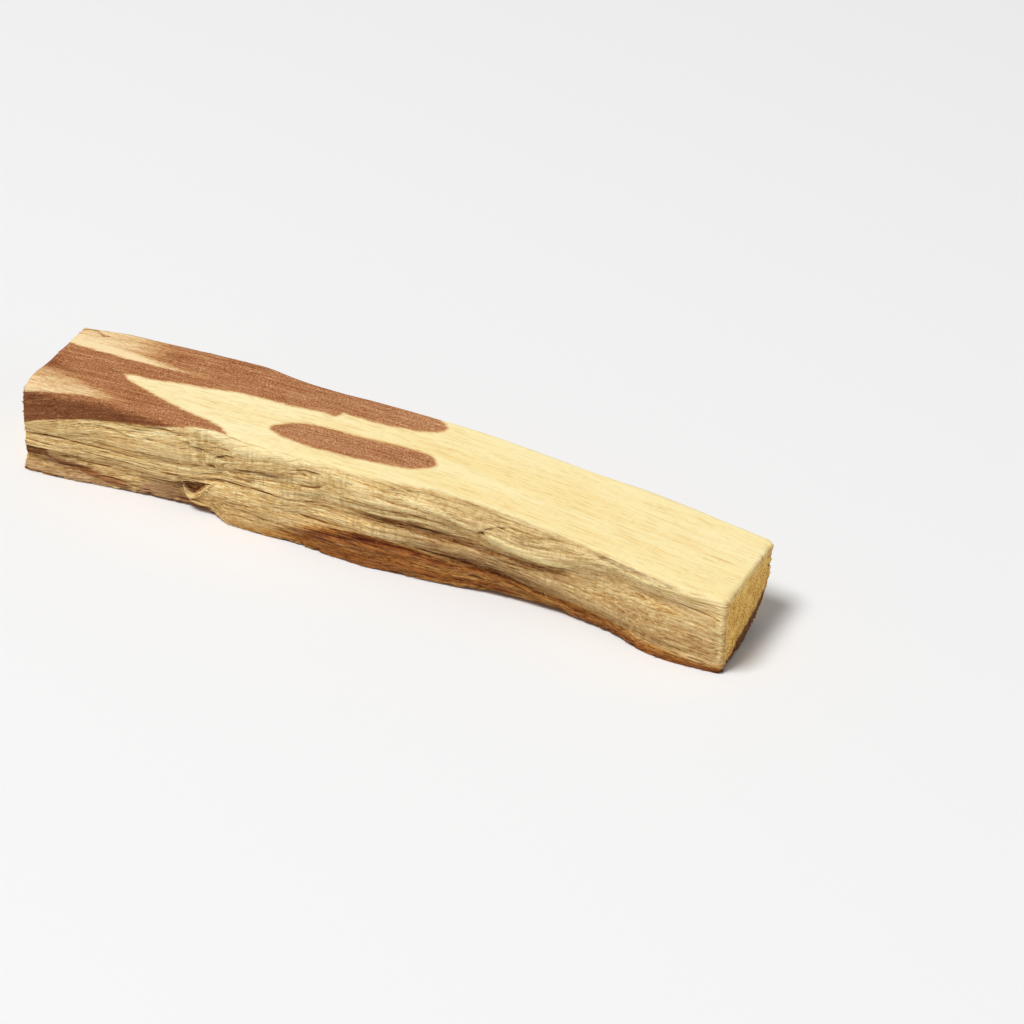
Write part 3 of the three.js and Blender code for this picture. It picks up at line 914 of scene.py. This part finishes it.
def front_saw(place, height):
    """Faint saw marks across the grain."""
    high = smooth_step(5.5, 8, height)
    return np.maximum.reduce([
        window(place, 19, 52, 6) * high,
        0.6 * window(place, 24, 44, 5) * (1 - high),
        0.7 * window(place, 46, 92, 8),
        1.1 * window(place, 42, 84, 8) * bell((height - 5.6) / 2),
    ])


def proud(shaped, out, spread):
    """How far each point stands proud of its neighbours round the section."""
    blur = weights(np.arange(ROWS) * FACE_HEIGHT / FRONT_ROWS, spread)
    mean = np.einsum("jk,ikd->ijd", blur, shaped)
    steps = np.linalg.norm(np.diff(shaped, axis=1, append=shaped[:, :1]), axis=2)
    at = np.cumsum(steps, axis=1) - steps
    from_edges = [np.abs(at - at[:, [edge]]) for edge in EDGES]
    from_edge = np.minimum.reduce(from_edges + [at[:, -1:] - at])
    return np.sum((shaped - mean) * out, axis=2) * smooth_step(0.5 * spread, 2.2 * spread, from_edge)


def near_end(surface):
    """How much each point by a saw cut takes on the look of end grain, from 0 to 1."""
    from_end = np.minimum(*from_saw_cuts(surface))
    reach = 0.4 * (1 + 0.8 * noise(np.arange(ROWS) / 3, from_end * 2, 261))
    return by_face(surface, 1, 0.45, 1, 1) * (1 - smooth_step(0, 1, from_end / np.maximum(reach, 0.05)))


def colour_fields(surface, shaped, out):
    """The fields at each point of the surface, and the course of the grain there."""
    place, depth, height = np.moveaxis(surface, 2, 0)
    on_front = np.arange(ROWS) < ARRIS_ROW
    past = np.where(on_front, height[:, [ARRIS_ROW]] - height, depth[:, [ARRIS_ROW]] - depth)
    past = past + along(SPLIT_REACH, place)
    past = past + 0.25 * noise(place / 1.7, depth / 0.5, 251) + 0.2 * noise(place / 0.6, depth / 0.2, 252)
    taken_over = smooth_step(-0.1, 1.0, past / along(SPLIT_FADE, place))
    split = by_face(surface, 0, 0, 1, 0.6)
    split[:, :BACK_EDGE_ROW] = taken_over[:, :BACK_EDGE_ROW]
    tan_and_shade = by_face(surface, front_tan_and_shade, top_tan, back_tan, 0)
    tan_and_shade[:, ARRIS_ROW:BACK_EDGE_ROW] *= (1 - taken_over)[:, ARRIS_ROW:BACK_EDGE_ROW]
    fields = {
        "heart": by_face(surface, front_heartwood, top_heartwood, back_heartwood, underside_heartwood),
        "veil": by_face(surface, corner_veil, top_veil, 0, 0),
        "resin": by_face(surface, front_resin, 0, back_resin, 0.9),
        "grey": by_face(surface, front_grey, top_grey, 0, 0),
        "tan_and_shade": tan_and_shade,
        "olive_shade": by_face(surface, front_olive_shade, 0, 0, 0),
        "split": split,
        "saw": by_face(surface, front_saw, 0, 0, 0),
        "end": near_end(surface),
        # The crest field paints shade into crevices and the crack on the top and a highlight onto crests;
        # the swell field does the same for broad hollows and swells.
        "crest_light_and_shade": proud(shaped, out, CREST_WIDTH) - 0.3 * by_face(surface, 0, in_top_crack, 0, 0),
        "swell_light_and_shade": proud(shaped, out, SWELL_WIDTH),
        "cream_and_highlight": by_face(surface, front_cream_highlight, 0, 0, 0),
    }
    across = by_face(surface, across_front, across_top, across_back, lambda place, depth: depth)
    third = np.where(by_face(surface, 1, 0, 1, 0), depth, height)
    return fields, np.stack([place, across, third], axis=2)


def end_fields(spots, ring, at_left):
    """The fields at spots on a saw cut, whose rim is the ring."""
    _, depth, height = spots.T
    fields = {name: np.zeros(len(spots)) for name in SURFACE_FIELDS}
    fields["end"] += 1
    to_rim = spots[:, None, 1:] - ring[None, :BACK_EDGE_ROW, 1:]
    from_rim = np.linalg.norm(to_rim, axis=2).min(axis=1)
    fields["cream_and_highlight"] += 0.7 * (1 - smooth_step(0, END_BORDER, from_rim))
    if at_left:
        fields["cream_and_highlight"] = np.maximum(fields["cream_and_highlight"], 0.35)
        slant = height - LEFT_SLOPE * depth
        fields["heart"] += np.minimum(slant - LEFT_HEARTWOOD[0], LEFT_HEARTWOOD[1] - slant)
    else:
        fields["heart"] -= 3
        above = height - along(DARK_SKIN, depth) + 0.4 * noise(depth / 0.6, height / 0.6, 241)
        above = above + 0.3 * noise(depth / 0.25, height / 0.25, 242)
        fields["resin"] += 1.1 * (1 - smooth_step(-0.5, 0.6, above)) + 0.3 * (1 - smooth_step(0, 4, above))
    return fields


# Mesh

# The points inside an end lie this far apart, and follow the worn rim within the pull.
CAP_SPACING = 0.34
CAP_PULL = 0.8
CAP_SEED = 7


def cap_points(outline):
    """Evenly scattered points inside an end's outline of depths and heights."""
    low, high = outline.min(axis=0), outline.max(axis=0)
    columns = np.arange(low[0], high[0], CAP_SPACING)
    rows = np.arange(low[1], high[1], CAP_SPACING * 0.87)
    grid = np.array([[c + 0.5 * CAP_SPACING * (i % 2), r] for i, r in enumerate(rows) for c in columns])
    grid += np.random.default_rng(CAP_SEED).uniform(-0.3, 0.3, grid.shape) * CAP_SPACING
    return grid[inside_outline(outline[::3], *grid.T) > 0.5 * CAP_SPACING]


def end_cut(depth, height, seed):
    """How deep the sawn end grain is pitted and scored."""
    score = 0.03 * noise((depth + 0.4 * height) / 0.35, height / 6, 101 + seed)
    pits = 0.07 * smooth_step(0.2, 0.7, noise(depth / 0.45, height / 0.45, 103 + seed))
    return 0.05 + score + pits + 0.05 * noise(depth / 2, height / 2, 105 + seed)


def end_cap(ring, moves, at_left, first_vertex, next_vertex):
    """Triangles that close one end, with the vertices added inside it.

    The ring is the end's outline before its relief, and the moves are what the relief does to it.
    """
    plane, outside, inwards = (left_plane, -10, 1) if at_left else (right_plane, LENGTH + 10, -1)
    outline = ring[:, 1:]
    inner = cap_points(outline)
    flat = [Vector(spot) for spot in np.concatenate([outline, inner])]
    loop = [(i, (i + 1) % ROWS) for i in range(ROWS)]
    _, _, faces, sources, _, _ = delaunay_2d_cdt(flat, loop, [], 1, 1e-7)
    number = [first_vertex + own if own < ROWS else next_vertex + own - ROWS for own, *_ in sources]
    triangles = [[number[i] for i in face][::-inwards] for face in faces]
    away = np.hypot(*(inner[:, None, :] - outline[None, :, :]).transpose(2, 0, 1))
    pull = np.exp(-away.min(axis=1) / CAP_PULL)[:, None]
    inner = inner + moves[away.argmin(axis=1)][:, 1:] * pull
    found = [hit((outside, *spot), (inwards, 0, 0)) for spot in inner]
    places = [place_on(plane, *spot) if at is None else at[0] for spot, at in zip(inner, found)]
    rough = end_cut(*inner.T, inwards) * smooth_step(0, 0.8, away.min(axis=1))
    return triangles, np.column_stack([np.array(places) + inwards * rough, inner])


def make_mesh(name, vertices, faces):
    mesh = bpy.data.meshes.new(name)
    mesh.from_pydata([tuple(v) for v in to_metres(vertices)], [], faces)
    mesh.update()
    mesh.shade_smooth()
    return mesh


def add_field(mesh, name, values, domain="POINT"):
    """Give the mesh a number for each point or corner, or a vector where the values are rows."""
    kind, key = ("FLOAT_VECTOR", "vector") if np.ndim(values) > 1 else ("FLOAT", "value")
    attribute = mesh.attributes.new(name, kind, domain)
    attribute.data.foreach_set(key, np.asarray(values, np.float32).ravel())


def inside_box(spots):
    """The same spots, moved in to the frame's box where the relief took them out of it."""
    return np.clip(spots, box_low, box_high)


def make_stick():
    shares = section_shares()
    count = len(shares)
    surface = smoothed(frame_surface(shares), shares)
    out = outward(surface)
    inset = relief(surface) + rounded_ends(surface)
    shaped = inside_box(surface - out * inset[:, :, None])
    moves = shaped - surface
    fields, fibre = colour_fields(surface, shaped, out)
    i, j = np.meshgrid(np.arange(count - 1), np.arange(ROWS), indexing="ij")
    here = i * ROWS + j
    beside = i * ROWS + (j + 1) % ROWS
    halves = [(here, here + ROWS, beside + ROWS), (here, beside + ROWS, beside)]
    triangles = np.concatenate([np.stack(half, axis=-1).reshape(-1, 3) for half in halves]).tolist()
    wall_corners = 3 * len(triangles)
    vertices = shaped.reshape(-1, 3)
    values = {name: field.ravel() for name, field in fields.items()}
    for end, at_left, first_vertex in ((0, True, 0), (-1, False, (count - 1) * ROWS)):
        faces, inner = end_cap(surface[end], moves[end], at_left, first_vertex, len(vertices))
        triangles += faces
        vertices = np.concatenate([vertices, inner])
        for name, own in end_fields(inner, shaped[end], at_left).items():
            values[name] = np.concatenate([values[name], own])
    mesh = make_mesh("wood", vertices, triangles)
    corner = np.array(triangles).ravel()
    on_cap = np.arange(len(corner)) >= wall_corners
    add_field(mesh, "end", np.where(on_cap, 1.0, values.pop("end")[corner]), "CORNER")
    for name, own in values.items():
        add_field(mesh, name, own)
    grain = vertices.copy()
    grain[:count * ROWS] = fibre.reshape(-1, 3)
    add_field(mesh, "fibre", np.where(on_cap[:, None], vertices[corner], grain[corner]), "CORNER")
    skin = SimpleNamespace(smooth=surface, shaped=shaped, out=out, across=fibre[:, :, 1], fields=fields)
    return add_object("wood", mesh), skin


# Torn fibres

# Each kind of fibre: how many, the rows they start on, how far they run along the grain, their
# half thickness and how far their free end lifts.
FIBRE_KINDS = [
    (1100, (2, FRONT_ROWS - 2), (0.6, 4.5), (0.025, 0.07), (0.02, 0.25)),
    (160, (2, FRONT_ROWS - 4), (1.2, 5.0), (0.06, 0.15), (0.03, 0.22)),
    (160, (0, 10), (0.5, 2.5), (0.03, 0.08), (0.05, 0.4)),
    (60, (FRONT_ROWS - 6, FRONT_ROWS + 1), (0.5, 2.5), (0.02, 0.05), (0.03, 0.2)),
    (360, (BACK_EDGE_ROW + 2, HEEL_ROW - 2), (0.8, 5.0), (0.03, 0.1), (0.02, 0.25)),
]
# Fibres given one by one on the front, as points of place, height, half thickness and lift. The
# first is the curled splinter.
HAND_FIBRES = [
    "27.1 5 0.03 0.05, 26.5 4.6 0.1 0.15, 25.7 3.9 0.13 0.3, 24.9 3 0.16 0.4, 24.2 2.3 0.24 0.42, "
    "23.6 2.1 0.3 0.45, 23.1 2.4 0.24 0.5, 22.8 2.9 0.17 0.6, 22.7 3.5 0.05 0.7",
    "26.4 1.4 0.06 0, 25.2 1.35 0.26 0.12, 24.1 1.5 0.34 0.2, 23.4 1.7 0.14 0.3",
    "26.8 3.6 0.06 0, 26.2 4 0.1 0.2, 25.6 3.8 0.03 0.35",
    "26.6 3.4 0.05 0, 26 3.7 0.08 0.15, 25.5 3.4 0.02 0.3",
    "55.5 7.1 0.05 0, 56 6.8 0.06 0.3, 56.6 6.3 0.03 0.45",
    "55.9 7.2 0.04 0, 56.4 6.9 0.05 0.3, 56.9 6.5 0.02 0.4",
    "73.9 2.7 0.05 0, 74.4 2.4 0.06 0.3, 74.9 2 0.03 0.4",
    "74.4 2.8 0.04 0, 74.8 2.5 0.05 0.25, 75.2 2.2 0.02 0.35",
    "21.6 7.1 0.04 0, 21.8 6.7 0.06 0.2, 21.7 6.3 0.03 0.3",
]
# How many tufts stand on the rims of the left and right ends.
END_TUFTS = {True: 300, False: 360}
FIBRE_SEED = 301
FIBRE_POINTS = 7
TUFT_POINTS = 5
FIBRE_SIDES = 4
# How thick a fibre is for its width, and how far across the wood it takes its grain from.
FIBRE_FLATNESS = 0.6
FIBRE_SHIFT = 4
# A fibre keeps to its grain line only where its rows are more than this.
FEWEST_ROWS = 20
# Most fibres carry as much painted highlight as a crest, or more.
FIBRE_HIGHLIGHT = (-0.05, 0.35)


def blend(grid, i, j):
    """A value of a grid between its sections and rows."""
    i = min(max(i, 0.0), len(grid) - 1.001)
    i0, j0 = int(i), int(math.floor(j))
    u, v = i - i0, j - j0
    j1 = (j0 + 1) % ROWS
    j0 %= ROWS
    near = (1 - v) * grid[i0, j0] + v * grid[i0, j1]
    far = (1 - v) * grid[i0 + 1, j0] + v * grid[i0 + 1, j1]
    return (1 - u) * near + u * far


def section_at(skin, place, row):
    """The section, as a number between two, that lies at a place along one row."""
    places = skin.shaped[:, int(row) % ROWS, 0]
    return float(np.interp(place, places, np.arange(len(places))))


def row_at(skin, height, section):
    """The row of the front that lies at a height."""
    return float(np.interp(height, skin.smooth[int(section), :FRONT_ROWS, 2], np.arange(FRONT_ROWS)))


def fibre_tube(spots, halves, widest):
    """A thin tapered tube through spots, flattened against the surface, as vertices and faces."""
    ahead = np.gradient(spots, axis=0)
    ahead /= np.linalg.norm(ahead, axis=1, keepdims=True)
    side = np.cross(ahead, widest)
    side /= np.linalg.norm(side, axis=1, keepdims=True)
    up = np.cross(side, ahead)
    angle = (math.tau * np.arange(FIBRE_SIDES) / FIBRE_SIDES)[None, :, None]
    across = np.cos(angle) * side[:, None] + FIBRE_FLATNESS * np.sin(angle) * up[:, None]
    vertices = (spots[:, None] + halves[:, None, None] * across).reshape(-1, 3)
    last = len(vertices) - FIBRE_SIDES
    faces = []
    for ring in range(0, last, FIBRE_SIDES):
        for n in range(FIBRE_SIDES):
            a, b = ring + n, ring + (n + 1) % FIBRE_SIDES
            faces.append((a, b, b + FIBRE_SIDES, a + FIBRE_SIDES))
    caps = [tuple(range(FIBRE_SIDES))[::-1], tuple(range(last, len(vertices)))]
    return vertices, faces + caps


def random_fibre(skin, random, rows, reach, half, lift):
    """One fibre along the grain: its spots, half thicknesses, outward directions and root."""
    row = random.uniform(*rows)
    section = random.uniform(0, len(skin.shaped) - 1)
    length = random.uniform(*reach) * random.choice([-1, 1])
    half = random.uniform(*half)
    lift = random.uniform(*lift)
    swerve = random.normal(0, 0.12)
    place = blend(skin.shaped, section, row)[0]
    level = blend(skin.across, section, row)
    known = np.arange(rows[0], rows[1] + 1)
    spots, outs, halves = [], [], []
    for k in range(FIBRE_POINTS):
        t = k / (FIBRE_POINTS - 1)
        i = section_at(skin, min(max(place + length * t, -0.6), LENGTH - 0.3), row)
        levels = skin.across[int(i), known]
        way = 1 if levels[-1] > levels[0] else -1
        kept = float(np.interp(level + swerve * t * t, levels[::way], known[::way]))
        j = kept if len(known) > FEWEST_ROWS else row
        outs.append(blend(skin.out, i, j))
        spots.append(blend(skin.shaped, i, j) + outs[-1] * (lift * t ** 1.7 - 0.01))
        halves.append(half * (1 - 0.85 * t) * min(1.0, 0.4 + 3 * t))
    return spots, halves, outs, (section, row)


def hand_fibre(skin, text):
    """One fibre placed on the front from given points."""
    given = points(text)
    steps = np.linspace(0, len(given) - 1, 4 * len(given))
    places, heights, halves, lifts = [curve(np.arange(len(given)), column, steps) for column in given.T]
    spots, outs, at = [], [], []
    for place, height, lift in zip(places, heights, lifts):
        row = FRONT_ROWS // 2
        for _ in range(3):
            section = section_at(skin, place, row)
            row = row_at(skin, height, section)
        outs.append(blend(skin.out, section, row))
        spots.append(blend(skin.smooth, section, row) + outs[-1] * lift)
        at.append((section, row))
    return spots, halves, outs, at[0]


def end_tuft(skin, random, at_left):
    """A short fibre that the saw left standing on the rim of an end."""
    section, side = (0, -1.0) if at_left else (len(skin.shaped) - 1, 1.0)
    row = random.uniform(0, ROWS)
    out = blend(skin.out, section, row)
    ahead = np.array([side, 0.0, 0.0])
    way = 0.7 * ahead + random.uniform(0.1, 1.0) * out + random.normal(0, 0.3, 3)
    bend = random.normal(0, 0.3, 3)
    length = random.uniform(0.05, 0.22)
    half = random.uniform(0.03, 0.08)
    t = np.linspace(0, 1, TUFT_POINTS)[:, None]
    root = blend(skin.shaped, section, row) - 0.05 * ahead
    spots = root + length * (t * way + t * t * bend)
    return spots, half * (1 - 0.85 * t[:, 0]), np.tile(out, (TUFT_POINTS, 1)), (section, row)


def make_torn_fibres(skin):
    """Loose splinters and hairs of wood on the split faces and along their edges."""
    random = np.random.default_rng(FIBRE_SEED)
    fibres = [random_fibre(skin, random, *kind) for count, *kind in FIBRE_KINDS for _ in range(count)]
    fibres += [end_tuft(skin, random, at_left) for at_left, count in END_TUFTS.items() for _ in range(count)]
    fibres += [hand_fibre(skin, text) for text in HAND_FIBRES]
    vertices, faces, grain = [], [], []
    values = {name: [] for name in SURFACE_FIELDS}
    for spots, halves, outs, root in fibres:
        tube, sides = fibre_tube(np.array(spots), np.array(halves), np.array(outs))
        faces += [tuple(v + len(vertices) for v in side) for side in sides]
        vertices += list(tube)
        level = blend(skin.across, *root) + random.uniform(-FIBRE_SHIFT, FIBRE_SHIFT)
        grain += [(place, level, height) for place, _, height in tube]
        fibre_highlight = random.uniform(*FIBRE_HIGHLIGHT)
        for name, own in values.items():
            # In the crest field each fibre carries a painted highlight of its own.
            value = fibre_highlight if name == "crest_light_and_shade" else blend(skin.fields[name], *root)
            own += [value] * len(tube)
    mesh = make_mesh("torn_fibres", inside_box(vertices), faces)
    for name, own in values.items():
        add_field(mesh, name, own)
    add_field(mesh, "fibre", grain)
    return add_object("torn_fibres", mesh)


# Material

BUMP_DISTANCE = 0.0002
ROUGHNESS = 0.78
SPECULAR_LEVEL = 0.15


def srgb(*colour):
    """A colour given as it looks on a screen, 0 to 255, in the values that shaders take."""
    shares = [value / 255 for value in colour]
    return [s / 12.92 if s <= 0.04045 else ((s + 0.055) / 1.055) ** 2.4 for s in shares] + [1.0]


class Graph:
    """Short names for making and joining shader nodes. Colours are given as they look on a screen."""

    def __init__(self, material):
        self.tree = material.node_tree
        self.shader = self.tree.nodes["Principled BSDF"]
        self.fibre = self.field("fibre", "Vector")

    def node(self, kind, **settings):
        made = self.tree.nodes.new("ShaderNode" + kind)
        for name, value in settings.items():
            setattr(made, name, value)
        return made

    def set(self, node, values):
        """Join a node's inputs to other sockets, or give them numbers or colours."""
        for name, value in values.items():
            if isinstance(value, bpy.types.NodeSocket):
                self.tree.links.new(value, node.inputs[name])
            else:
                node.inputs[name].default_value = srgb(*value) if isinstance(value, tuple) else value

    def field(self, name, output="Fac"):
        return self.node("Attribute", attribute_name=name).outputs[output]

    def math(self, operation, *values):
        made = self.node("Math", operation=operation)
        self.set(made, dict(enumerate(values)))
        return made.outputs[0]

    def times(self, a, b):
        return self.math("MULTIPLY", a, b)

    def sum(self, *terms, start=0.0):
        """A start with more values added, each of them by a weight."""
        for value, weight in terms:
            start = self.math("MULTIPLY_ADD", value, weight, start)
        return start

    def noise(self, along_grain, across_grain, detail, roughness=0.5):
        """Noise with this many waves in a millimetre along the grain and across it."""
        scaled = self.node("VectorMath", operation="MULTIPLY")
        self.set(scaled, {0: self.fibre})
        scaled.inputs[1].default_value = (along_grain, across_grain, across_grain)
        made = self.node("TexNoise")
        self.set(made, {"Vector": scaled.outputs[0], "Scale": 1.0, "Detail": detail, "Roughness": roughness})
        return made.outputs["Fac"]

    def between(self, value, low, high, to_low=0.0, to_high=1.0):
        made = self.node("MapRange", interpolation_type="SMOOTHSTEP")
        names = ("Value", "From Min", "From Max", "To Min", "To Max")
        self.set(made, dict(zip(names, (value, low, high, to_low, to_high))))
        return made.outputs["Result"]

    def mix(self, factor, a, b, blend_type="MIX"):
        made = self.node("Mix", data_type="RGBA", blend_type=blend_type)
        self.set(made, {"Factor": factor, "A": a, "B": b})
        return made.outputs["Result"]

    def ramp(self, value, *stops):
        """A colour for each value, from stops of a position and a colour."""
        made = self.node("ValToRGB")
        self.set(made, {"Fac": value})
        elements = made.color_ramp.elements
        while len(elements) < len(stops):
            elements.new(0.5)
        for element, (position, *colour) in zip(elements, stops):
            element.position = position
            element.color = srgb(*colour)
        return made.outputs["Color"]


def make_wood_material():
    material = bpy.data.materials.new("palo_santo_wood")
    material.use_nodes = True
    g = Graph(material)
    fields = [g.field(name) for name in SURFACE_FIELDS]
    heart_depth, veil, resin, grey, tan_and_shade, olive_shade, split, saw, end, crest_light_and_shade, swell_light_and_shade, cream_and_highlight = fields

    # Grain at several scales, from broad patches down to single fibres.
    broad = g.noise(0.03, 0.30, 3.0)
    bands = g.noise(0.06, 1.0, 3.0, 0.55)
    lines = g.noise(0.10, 3.0, 3.0, 0.6)
    hairs = g.noise(0.18, 6.5, 2.0, 0.7)
    flecks = g.noise(1.5, 6.0, 2.0, 0.7)
    grainlets = g.noise(4.2, 10.0, 1.0, 0.6)
    dashes = g.noise(0.35, 5.5, 1.0)
    scratches = g.noise(2.7, 0.5, 1.0)
    threads = g.noise(0.30, 5.0, 2.0, 0.6)
    ragged = g.noise(0.7, 4.0, 3.0)
    pores = g.noise(0.8, 4.2, 3.0, 0.75)
    patches = g.noise(0.2, 0.6, 2.0)

    # Sapwood of the sawn top: cream, with faint tan lines in patches and fainter saw marks.
    line_mask = g.times(g.between(threads, 0.52, 0.68), g.between(broad, 0.35, 0.60, 0.4, 1.0))
    sapwood = g.mix(g.between(broad, 0.35, 0.65), (252, 236, 180), (250, 229, 166))
    sapwood = g.mix(tan_and_shade, g.mix(0.35, sapwood, (255, 246, 206)), sapwood)
    sapwood = g.mix(g.between(bands, 0.50, 0.70, 0.0, 0.45), sapwood, (248, 214, 142))
    sapwood = g.mix(g.times(line_mask, 0.6), sapwood, (222, 180, 110))
    sapwood = g.mix(g.between(hairs, 0.56, 0.76, 0.0, 0.35), sapwood, (212, 168, 100))
    sapwood = g.mix(g.between(scratches, 0.54, 0.70, 0.0, 0.09), sapwood, (214, 180, 120))

    # Sapwood of the split faces: straw and tan in streaks.
    streak = g.sum((bands, 0.20), (lines, 0.25), (hairs, 0.33), (flecks, 0.22))
    straw = g.ramp(streak, (0.40, 160, 112, 56), (0.455, 214, 170, 104), (0.51, 242, 208, 142),
                   (0.57, 255, 238, 186))
    weathered = g.ramp(streak, (0.40, 140, 104, 58), (0.48, 198, 164, 106), (0.56, 236, 208, 150))
    torn = g.mix(g.times(grey, g.between(bands, 0.38, 0.58, 0.4, 1.0)), straw, weathered)
    close = g.sum((hairs, 0.50), (flecks, 0.30), (threads, 0.20))
    browned_and_shaded = g.ramp(close, (0.38, 134, 90, 44), (0.46, 188, 146, 88), (0.53, 212, 172, 112),
                     (0.61, 246, 214, 154))
    # Browner wood, which on the front is also painted shade in the valley and towards the foot.
    torn = g.mix(g.times(tan_and_shade, 0.85), torn, browned_and_shaded)
    dash = g.times(g.between(dashes, 0.58, 0.70), g.between(broad, 0.35, 0.60))
    torn = g.mix(g.times(dash, 0.55), torn, (140, 92, 44))
    # Painted olive-brown shade in the hollows of the front.
    shaded = g.mix(1.0, torn, (149, 105, 50), "MULTIPLY")
    torn = g.mix(g.times(olive_shade, g.between(close, 0.40, 0.58, 1.0, 0.7)), torn, shaded)
    torn = g.mix(g.times(saw, g.between(scratches, 0.48, 0.66, 0.0, 0.44)), torn, (168, 134, 80))
    # Painted cream highlight on the ridges and on the front's edge by the right end.
    torn = g.mix(g.times(cream_and_highlight, g.between(close, 0.40, 0.57, 0.15, 1.0)), torn, (255, 236, 174))

    # The heartwood has a soft orange border just outside it.
    inside = g.sum((ragged, 0.5), (flecks, 0.5), (heart_depth, 1.0), start=-0.5)
    heart = g.between(inside, -0.14, 0.16)
    sapwood = g.mix(g.between(inside, -0.50, 0.0, 0.0, 0.6), sapwood, (212, 160, 100))
    wood = g.mix(split, sapwood, torn)

    # Resin darkens and reddens what it soaks, unevenly. Grey wood is faded.
    amount = g.sum((lines, 0.9), (bands, 1.1), (resin, 1.0), start=-1.0)
    soaked = g.ramp(streak, (0.41, 98, 50, 16), (0.47, 147, 91, 36), (0.55, 204, 150, 78))
    faded = g.ramp(streak, (0.40, 124, 82, 48), (0.47, 162, 118, 78), (0.56, 206, 166, 122))
    steeped = g.ramp(streak, (0.41, 72, 29, 10), (0.47, 114, 58, 22), (0.56, 172, 108, 48))
    faded_dark = g.mix(1.0, faded, (206, 176, 152), "MULTIPLY")
    wood = g.mix(g.between(amount, 0.15, 0.62), wood, g.mix(grey, soaked, faded))
    wood = g.mix(g.between(amount, 0.68, 1.15), wood, g.mix(g.times(grey, 0.7), steeped, faded_dark))

    # Heartwood: reddish brown, darker on the split faces and pale under the veils.
    tone = g.sum((lines, 0.24), (hairs, 0.22), (grainlets, 0.54))
    brown = g.ramp(tone, (0.36, 114, 62, 34), (0.45, 164, 104, 66), (0.52, 186, 128, 86),
                   (0.62, 226, 182, 136))
    brown = g.mix(tan_and_shade, g.mix(1.0, brown, (244, 236, 226), "MULTIPLY"), brown)
    brown = g.mix(g.between(inside, 0.0, 0.5, 0.45, 0.0), brown, (190, 126, 70))
    brown = g.mix(split, brown, g.mix(1.0, brown, (208, 192, 178), "MULTIPLY"))
    pale = g.between(g.sum((lines, 0.9), (flecks, 1.0), (veil, 1.0), start=-0.95), 0.1, 1.05)
    veiled = g.ramp(pale, (0.0, 184, 126, 84), (0.35, 204, 154, 102), (0.65, 226, 188, 136),
                    (1.0, 248, 222, 172))
    brown = g.mix(g.between(pale, 0.0, 0.25), brown, veiled)
    wood = g.mix(heart, wood, brown)

    # End grain: pores, seen end on, with dark skin where the field of resin is high.
    sawn = g.ramp(g.sum((pores, 0.78), (patches, 0.22)), (0.37, 118, 70, 22), (0.45, 206, 147, 62),
                  (0.52, 248, 196, 98), (0.61, 255, 230, 146))
    # Painted highlight along the border of an end, and a paler left end.
    sawn = g.mix(g.times(cream_and_highlight, g.between(pores, 0.36, 0.56, 0.4, 1.0)), sawn, (240, 206, 140))
    sawn = g.mix(heart, sawn, g.mix(1.0, brown, (220, 200, 190), "MULTIPLY"))
    dark_skin = g.ramp(pores, (0.36, 66, 34, 18), (0.50, 104, 62, 36), (0.64, 164, 112, 66))
    sawn = g.mix(g.between(amount, 0.05, 0.7, 0.0, 0.5), sawn, (150, 98, 46))
    sawn = g.mix(g.between(amount, 0.6, 1.0), sawn, dark_skin)
    wood = g.mix(end, wood, sawn)

    # Painted shade darkens the crevices, the broad hollows and the crack on the top, and a painted highlight
    # lightens the crests and swells of bare split wood to cream.
    wood = g.mix(g.between(crest_light_and_shade, -0.01, -0.14, 0.0, 0.8), wood, (172, 116, 60), "MULTIPLY")
    wood = g.mix(g.between(swell_light_and_shade, -0.03, -0.40, 0.0, 0.4), wood, (186, 144, 86), "MULTIPLY")
    painted_highlight = g.math("ADD", g.between(crest_light_and_shade, 0.02, 0.25, 0.0, 0.45), g.between(swell_light_and_shade, 0.03, 0.30, 0.0, 0.15))
    bare = g.times(g.math("SUBTRACT", 1.0, heart), g.between(amount, 0.3, 1.0, 1.0, 0.25))
    bare = g.times(bare, g.between(olive_shade, 0.0, 1.0, 1.0, 0.6))
    wood = g.mix(g.times(painted_highlight, g.times(split, bare)), wood, (255, 236, 184))

    bump = g.node("Bump")
    strength = g.sum((split, 0.80), start=0.10)
    height = g.sum((lines, 0.35), (hairs, 0.4), (flecks, 0.25))
    g.set(bump, {"Distance": BUMP_DISTANCE, "Strength": strength, "Height": height})
    g.set(g.shader, {"Base Color": wood, "Normal": bump.outputs["Normal"]})
    g.shader.inputs["Roughness"].default_value = ROUGHNESS
    g.shader.inputs["Specular IOR Level"].default_value = SPECULAR_LEVEL
    return material


make_camera()
make_light()
make_floor()

wood, skin = make_stick()
fibres = make_torn_fibres(skin)
finish = make_wood_material()
for piece in (wood, fibres):
    piece.data.materials.append(finish)
    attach(piece, "root")
    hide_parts("stick")
